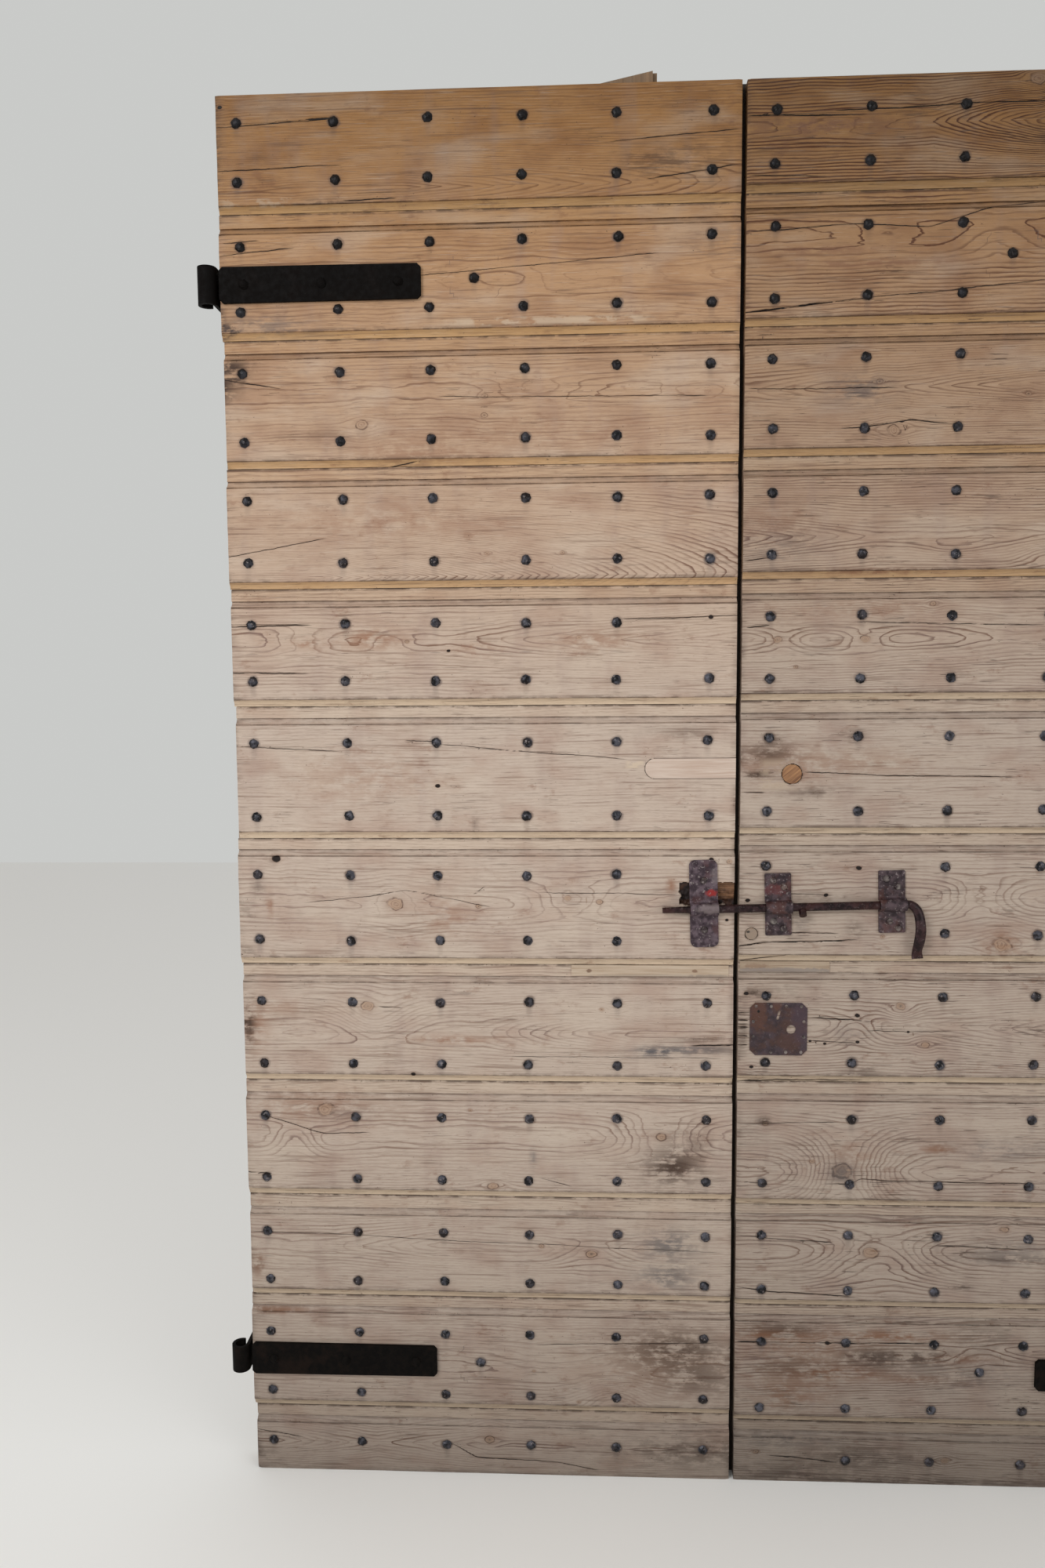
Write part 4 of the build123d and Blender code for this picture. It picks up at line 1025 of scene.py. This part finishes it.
lay_board(
    "right", 9, pith=120, height=30, spacing=4.5, contrast=0.75, wander=2,
    ovals=[(168, 121, 64, 66, 12)],
    knots=[(164, 121, 13, 0.3), (46, 46, 4, 1.0), (118, 105, 4, 0.9), (540, 60, 9, 0.9)],
    cracks=[
        (0.9, (8, 138), (38, 141)), (0.7, (140, 140), (176, 140), (192, 131), (236, 135), (440, 136)),
        (0.35, (8, 48), (160, 42)),
    ],
    stains=[(45, 42, 10, 7, 0.8), (20, 60, 30, 26, 0.2)],
    greys=[(164, 122, 20, 18, 0.7), (400, 84, 70, 16, 0.5)],
    ruddies=[(311, 84, 30, 6, 1.0), (180, 96, 34, 20, 0.5)],
)
lay_board(
    "right", 10, pith=60, height=22, spacing=4.3, contrast=0.9, fine=0.6,
    ovals=[(220, 66, 80, 42, 8)],
    knots=[(208, 59, 10, 0.5), (410, 18, 6, 0.5)],
    cracks=[
        (0.6, (10, 34), (150, 43)), (0.7, (312, 46), (440, 50)),
        (0.9, (10, 118), (60, 124), (176, 130)), (1.4, (12, 160), (90, 156), (217, 148)),
    ],
    stains=[(420, 66, 70, 6, 0.6), (350, 112, 16, 4, 0.8)],
    greys=[(420, 54, 70, 20, 0.4)],
)
lay_board(
    "right", 11, pith=56, height=13, spacing=4.2, slant=-0.04, contrast=1.0, fine=0.7,
    ovals=[(380, 60, 50, 14, 3)],
    knots=[(146, 43, 3.5, 2), (600, 110, 10, 0.9)],
    cracks=[(1.6, (8, 44), (40, 44)), (0.6, (50, 43), (170, 43), (300, 40))],
    stains=[
        (215, 66, 44, 16, 0.8), (290, 64, 40, 14, 0.7), (80, 22, 60, 10, 0.6), (90, 84, 60, 16, 0.4),
        (385, 30, 50, 20, 0.4),
    ],
    ruddies=[
        (90, 130, 60, 30, 0.6), (120, 60, 120, 40, 0.5), (60, 30, 60, 8, 0.9), (250, 30, 80, 8, 0.9),
        (340, 66, 60, 8, 0.9), (160, 92, 70, 9, 0.9), (300, 100, 60, 7, 0.8),
    ],
    greys=[(350, 90, 100, 30, 0.3)],
)
lay_board(
    "right", 12, pith=90, height=20, spacing=4.2, contrast=0.9, shade=0.88, fine=0.6,
    flames=[(180, 460, 5)],
    knots=[(38, 34, 4, 1.0), (330, 42, 6, 0.6)],
    cracks=[(1.0, (62, 40), (100, 42), (160, 48))],
    stains=[(200, 40, 120, 20, 0.5), (300, 78, 320, 8, 0.5), (80, 66, 90, 12, 0.4)],
    # The grey place at the top left is a painted sheen
    greys=[(80, 14, 80, 10, 0.5)],
)

# Nails
# Forged iron nails with rose heads of four or more hammered facets, driven through both
# layers and clenched behind. Their iron is blue-black, with pale facets that are partly
# worn and partly painted reflection.

NAIL_FACETS = 8
HEAD_RINGS = ((8.2, 0.0), (8.0, 1.0), (5.2, 3.4), (2.2, 4.4))
HEAD_JITTER = 0.13
HEAD_HEIGHT = 0.0045
LEAF_BACK = 0.02
# Half the shank's thickness, and how far the bent tip reaches, in mm
SHANK_HALF = 2
TIP_REACH = 13


def rose_head(draw, centre, front):
    """The corners of a hammered head, in rings. Its underside is at front."""
    points = []
    angles = np.arange(NAIL_FACETS) * math.tau / NAIL_FACETS
    angles = angles + draw.uniform(-0.22, 0.22, NAIL_FACETS) + draw.uniform(0, math.tau)
    lean = draw.uniform(-0.7, 0.7, 2)
    for radius, height in HEAD_RINGS:
        size = radius * (1 - HEAD_JITTER * draw.random(NAIL_FACETS))
        share = height / HEAD_RINGS[-1][1]
        for angle, reach in zip(angles, size):
            x = centre[0] + (reach * math.cos(angle) + lean[0] * share) * MM
            z = centre[1] + (reach * math.sin(angle) + lean[1] * share) * MM
            points.append((x, front - height * MM, z))
    return points


def shank_and_tip(centre, turn, front, bend, back):
    """The corners of a square shank, and those of its tip, which is bent over behind."""
    c, s = math.cos(turn), math.sin(turn)
    r = SHANK_HALF

    def place(u, v, y):
        return (centre[0] + (u * c - v * s) * MM, y, centre[1] + (u * s + v * c) * MM)

    shank = [place(u, v, y) for y in (front, bend) for u, v in ((-r, -r), (r, -r), (r, r), (-r, r))]
    tip = [place(u, v, y) for v in (-r, r) for u, y in ((-r, bend), (TIP_REACH, bend), (-r, back))]
    return shank, tip


def forge_nails(node, name, material, seed):
    """Rose-headed nails in place of a node's plain ones, with their shanks and clenches."""
    draw = np.random.default_rng(seed)
    points, faces = [], []
    for corners in islands(node):
        centre = head_centre(corners)
        front, back = corners[:, 1].min() + HEAD_HEIGHT, corners[:, 1].max()
        reach = np.hypot(corners[:, 0] - centre[0], corners[:, 2] - centre[1])
        behind = corners[:, 1] > LEAF_BACK
        far = corners[behind][np.argmax(reach[behind])]
        turn = math.atan2(far[2] - centre[1], far[0] - centre[0])
        shank, tip = shank_and_tip(centre, turn, front, far[1], back)
        for made, count in ((rose_head(draw, centre, front), NAIL_FACETS), (shank, 4), (tip, 3)):
            sides = skin(count, len(made) // count)
            faces += [tuple(len(points) + i for i in side) for side in sides]
            points += made
    mesh = bpy.data.meshes.new(name)
    mesh.from_pydata(points, [], faces)
    work = bmesh.new()
    work.from_mesh(mesh)
    bmesh.ops.recalc_face_normals(work, faces=work.faces)
    work.to_mesh(mesh)
    work.free()
    nails = add_object(name, mesh)
    nails.data.materials.append(material)
    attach(nails, "door")
    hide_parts(node)


def forged_iron(
    name, dark, pale, rust, worn, crust, metal=0.3, roughness=0.5, places=(), gloss=0.35
):
    """Old iron: a dark skin with paler worn places, some rust, patches at places, and painted
    shade that darkens it high on the door.
    """
    finish = Finish(name)
    broad = finish.noise(finish.stretched(26, 26, 26), 4, 0.6)
    middle = finish.noise(finish.stretched(110, 110, 110), 3, 0.55)
    fine = finish.noise(finish.stretched(650, 650, 650), 2, 0.6)
    spots = finish.noise(finish.stretched(210, 210, 210), 2, 0.7)
    finish.colour = finish.mix(finish.step(middle, 0.38, 0.66), dark, pale)
    finish.tinge(finish.step(fine, 0.5, 0.75, 0, 0.3), pale)
    finish.tinge(finish.step(broad, 0.5, 0.64, 0, worn), rust)
    finish.patches(places)
    finish.tinge(finish.step(spots, 0.6, 0.68, 0, crust), rgb(150, 140, 138))
    # Painted shade: iron high on the door is darkened almost to black
    level = finish.split(finish.at)[2]
    finish.tinge(finish.step(level, 1.3, 1.9, 0, 0.85), rgb(16, 13, 12))
    rough = finish.step(middle, 0.3, 0.7, roughness - 0.1, roughness + 0.12)
    finish.surface(rough, finish.plus(middle, finish.times(fine, 0.4)), 0.0005, gloss)
    finish.shader.inputs["Metallic"].default_value = metal
    return finish.material


# The pale facets stand partly for wear and partly for painted reflection
nail_iron = forged_iron(
    "nail_iron", rgb(19, 19, 22), rgb(84, 84, 92), rgb(48, 38, 35), worn=0.5, crust=0.5,
    metal=0.5, roughness=0.4,
)
forge_nails("left_nails", "left_rose_nails", nail_iron, 21)
forge_nails("right_nails", "right_rose_nails", nail_iron, 22)

# Hinges
# Flat iron plates on the face, and bands behind it that come round the edge and are
# rolled forward into open eyes. Three nails go through plate, wood and band.

hinge_iron = forged_iron(
    "hinge_iron", rgb(13, 11, 10), rgb(24, 21, 19), rgb(34, 26, 22), worn=0.6, crust=0.0,
    metal=0.0, roughness=0.7, gloss=0.08,
)
for name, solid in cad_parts.items():
    if name.endswith(("_hinge_plate", "_hinge_band")):
        paint([name], hinge_iron)
        bevel = solid.modifiers.new("worn_edges", "BEVEL")
        bevel.width = 0.0008
        bevel.segments = 2
        bevel.limit_method = "ANGLE"
forge_nails("left_hinge_nails", "left_hinge_rose_nails", hinge_iron, 23)
forge_nails("right_hinge_nails", "right_hinge_rose_nails", hinge_iron, 24)

# Bolt
# A round bar, drawn down to a flat bowed handle, that slides through two iron guides
# into a keep. The iron is purple-brown with rust, with remnants of red paint.

bolt_iron = forged_iron(
    "bolt_iron", rgb(32, 20, 22), rgb(58, 40, 42), rgb(66, 38, 34), worn=0.5, crust=0.15,
    metal=0.4, roughness=0.3,
)
paint(["bolt_bar", "bolt_stop_pin"], bolt_iron)
guide_iron = forged_iron(
    "guide_iron", rgb(46, 36, 40), rgb(84, 70, 74), rgb(92, 58, 50), worn=0.5, crust=0.5,
    metal=0.25, roughness=0.45, places=[(56, 945, 18, 8, rgb(108, 56, 56), 0.45)],
)
paint(["bolt_guide_left", "bolt_guide_right"], guide_iron)
keep_iron = forged_iron(
    "keep_iron", rgb(54, 42, 49), rgb(98, 84, 91), rgb(78, 48, 48), worn=0.6, crust=0.6,
    metal=0.2, roughness=0.5,
    places=[(-38, 940, 9, 6, rgb(150, 44, 42), 0.85), (-40, 918, 22, 7, rgb(140, 128, 124), 0.35),
            (-30, 966, 10, 12, rgb(142, 130, 132), 0.4)],
)
paint(["bolt_keep"], keep_iron)
fixing_iron = forged_iron(
    "fixing_iron", rgb(56, 46, 48), rgb(124, 116, 112), rgb(92, 60, 50), worn=0.5, crust=0.6,
    metal=0.4, roughness=0.4,
)
paint(["guide_fixings", "keep_nails"], fixing_iron)

# Lock cover
# A square of sheet iron tacked over the place of the old lock, with a round hole and a
# slit. It is rusty red-brown at its left and dark purple-brown at its right.

cover_iron = forged_iron(
    "cover_iron", rgb(52, 42, 46), rgb(72, 60, 65), rgb(80, 55, 45), worn=0.6, crust=0.12,
    metal=0.1, roughness=0.6,
    places=[(34, 755, 14, 26, rgb(92, 60, 44), 0.6), (34, 758, 2.2, 2.2, rgb(16, 12, 12), 1.0),
            (62, 768, 7, 9, rgb(110, 72, 52), 0.3), (98, 740, 16, 34, rgb(74, 58, 66), 0.6)],
)
paint(["lock_cover_plate"], cover_iron)
tack_iron = forged_iron(
    "tack_iron", rgb(62, 54, 54), rgb(132, 124, 120), rgb(90, 60, 50), worn=0.4, crust=0.5
)
paint(["lock_cover_tacks"], tack_iron)

# Repairs
# Newer pieces of wood let into the old boards: a patch with a round end, two plugs, and
# a strip in each leaf's joint below the bolt.


def repair_pine(name, pale, brown, turn=0.0, places=()):
    """Plain pine, whose grain is turned by an angle in degrees, with patches at places."""
    finish = Finish(name)
    turned = {"Vector": finish.at, "Angle": math.radians(turn)}
    turned = finish.add("ShaderNodeVectorRotate", turned, rotation_type="Y_AXIS")
    fibre = finish.noise(finish.vector("MULTIPLY", turned, (14, 14, 420)), 4, 0.6)
    broad = finish.noise(finish.vector("MULTIPLY", turned, (10, 10, 110)), 3)
    finish.colour = finish.mix(finish.step(fibre, 0.35, 0.7), pale, brown)
    finish.tinge(finish.step(broad, 0.5, 0.65, 0, 0.5), brown)
    finish.patches(places)
    finish.surface(0.65, fibre, 0.0004)
    return finish.material


patch_wood = repair_pine("patch_pine", rgb(204, 186, 172), rgb(182, 158, 142))
paint(["wood_patch"], patch_wood)
plug_wood = repair_pine(
    "plug_pine", rgb(166, 122, 84), rgb(96, 62, 42), 40,
    [(22, 877, 12, 12, rgb(142, 126, 112), 0.9), (17, 880, 3, 2, rgb(40, 32, 28), 0.9)],
)
paint(["wood_plugs"], plug_wood)
left_strip_wood = repair_pine(
    "left_strip_pine", rgb(188, 170, 150), rgb(166, 144, 122), 0,
    [(-222, 818, 4, 3, rgb(104, 76, 58), 0.8), (-62, 818, 4, 3, rgb(116, 86, 66), 0.8),
     (-130, 811, 90, 2, rgb(150, 138, 126), 0.5), (-40, 811, 30, 2, rgb(120, 110, 104), 0.5)],
)
paint(["left_joint_strip"], left_strip_wood)
right_strip_wood = repair_pine(
    "right_strip_pine", rgb(166, 148, 128), rgb(138, 116, 96), 0,
    [(70, 820, 90, 4, rgb(118, 112, 112), 0.6), (30, 827, 20, 3, rgb(120, 90, 70), 0.5)],
)
paint(["right_joint_strip"], right_strip_wood)

# Stage
# A pale floor under the door and a plain pale backdrop. A large soft lamp stands before
# it at the left, and a weaker one at the right.

FLOOR_SIZE = 12.0


def stage_finish(name, colour):
    finish = Finish(name)
    finish.feed(finish.shader.inputs["Base Color"], colour)
    finish.shader.inputs["Roughness"].default_value = 0.9
    return finish.material


mesh = bpy.data.meshes.new("floor")
half = FLOOR_SIZE / 2
corners = [(-half, -half, 0), (half, -half, 0), (half, half, 0), (-half, half, 0)]
mesh.from_pydata(corners, [], [(0, 1, 2, 3)])
floor = add_object("floor", mesh)
floor.data.materials.append(stage_finish("floor_pale", rgb(240, 240, 238)))

# The camera and reflections see a plain grey; what lights the door is a warmer white
world = bpy.data.worlds.new("studio")
bpy.context.scene.world = world
world.use_nodes = True
tree = world.node_tree
tree.nodes.clear()
output = tree.nodes.new("ShaderNodeOutputWorld")
lit = tree.nodes.new("ShaderNodeBackground")
lit.inputs["Color"].default_value = (1, 0.985, 0.96, 1)
lit.inputs["Strength"].default_value = 0.62
seen = tree.nodes.new("ShaderNodeBackground")
seen.inputs["Color"].default_value = rgb(200, 201, 199)
path = tree.nodes.new("ShaderNodeLightPath")
mix = tree.nodes.new("ShaderNodeMixShader")
rays = path.outputs["Is Camera Ray"]
for also in ("Is Glossy Ray", "Is Transmission Ray"):
    either = tree.nodes.new("ShaderNodeMath")
    either.operation = "ADD"
    tree.links.new(rays, either.inputs[0])
    tree.links.new(path.outputs[also], either.inputs[1])
    rays = either.outputs[0]
tree.links.new(rays, mix.inputs[0])
tree.links.new(lit.outputs[0], mix.inputs[1])
tree.links.new(seen.outputs[0], mix.inputs[2])
tree.links.new(mix.outputs[0], output.inputs[0])


def soft_lamp(name, place, target, size, power):
    data = bpy.data.lights.new(name, "AREA")
    data.shape = "SQUARE"
    data.size = size
    data.energy = power
    lamp = add_object(name, data)
    lamp.location = place
    lamp.rotation_euler = (Vector(target) - Vector(place)).to_track_quat("-Z", "Y").to_euler()


soft_lamp("key", (-2.2, -2.8, 2.9), (0, 0, 1.1), 1.5, 60)
soft_lamp("fill", (2.2, -2.6, 1.6), (0, 0, 1.0), 1.8, 16)

# Camera
# It stands before the left leaf, as in the photograph, whose frame cuts the right leaf.
# Its place and turn were worked out from the joints of the boards and the nails.

CAMERA_PLACE = (-0.2412, -1.7086, 1.2633)
CAMERA_TURN = (84.6563, 0.4267, 2.6593)
FRAME_PIXELS = 2000
FOCAL_PIXELS = 1450
SENSOR = 36.0

data = bpy.data.cameras.new("camera")
data.sensor_fit = "VERTICAL"
data.sensor_height = SENSOR
data.lens = FOCAL_PIXELS / FRAME_PIXELS * SENSOR
camera = add_object("camera", data)
camera.location = CAMERA_PLACE
camera.rotation_euler = [math.radians(turn) for turn in CAMERA_TURN]
bpy.context.scene.camera = camera
bpy.context.scene.view_settings.view_transform = "Standard"
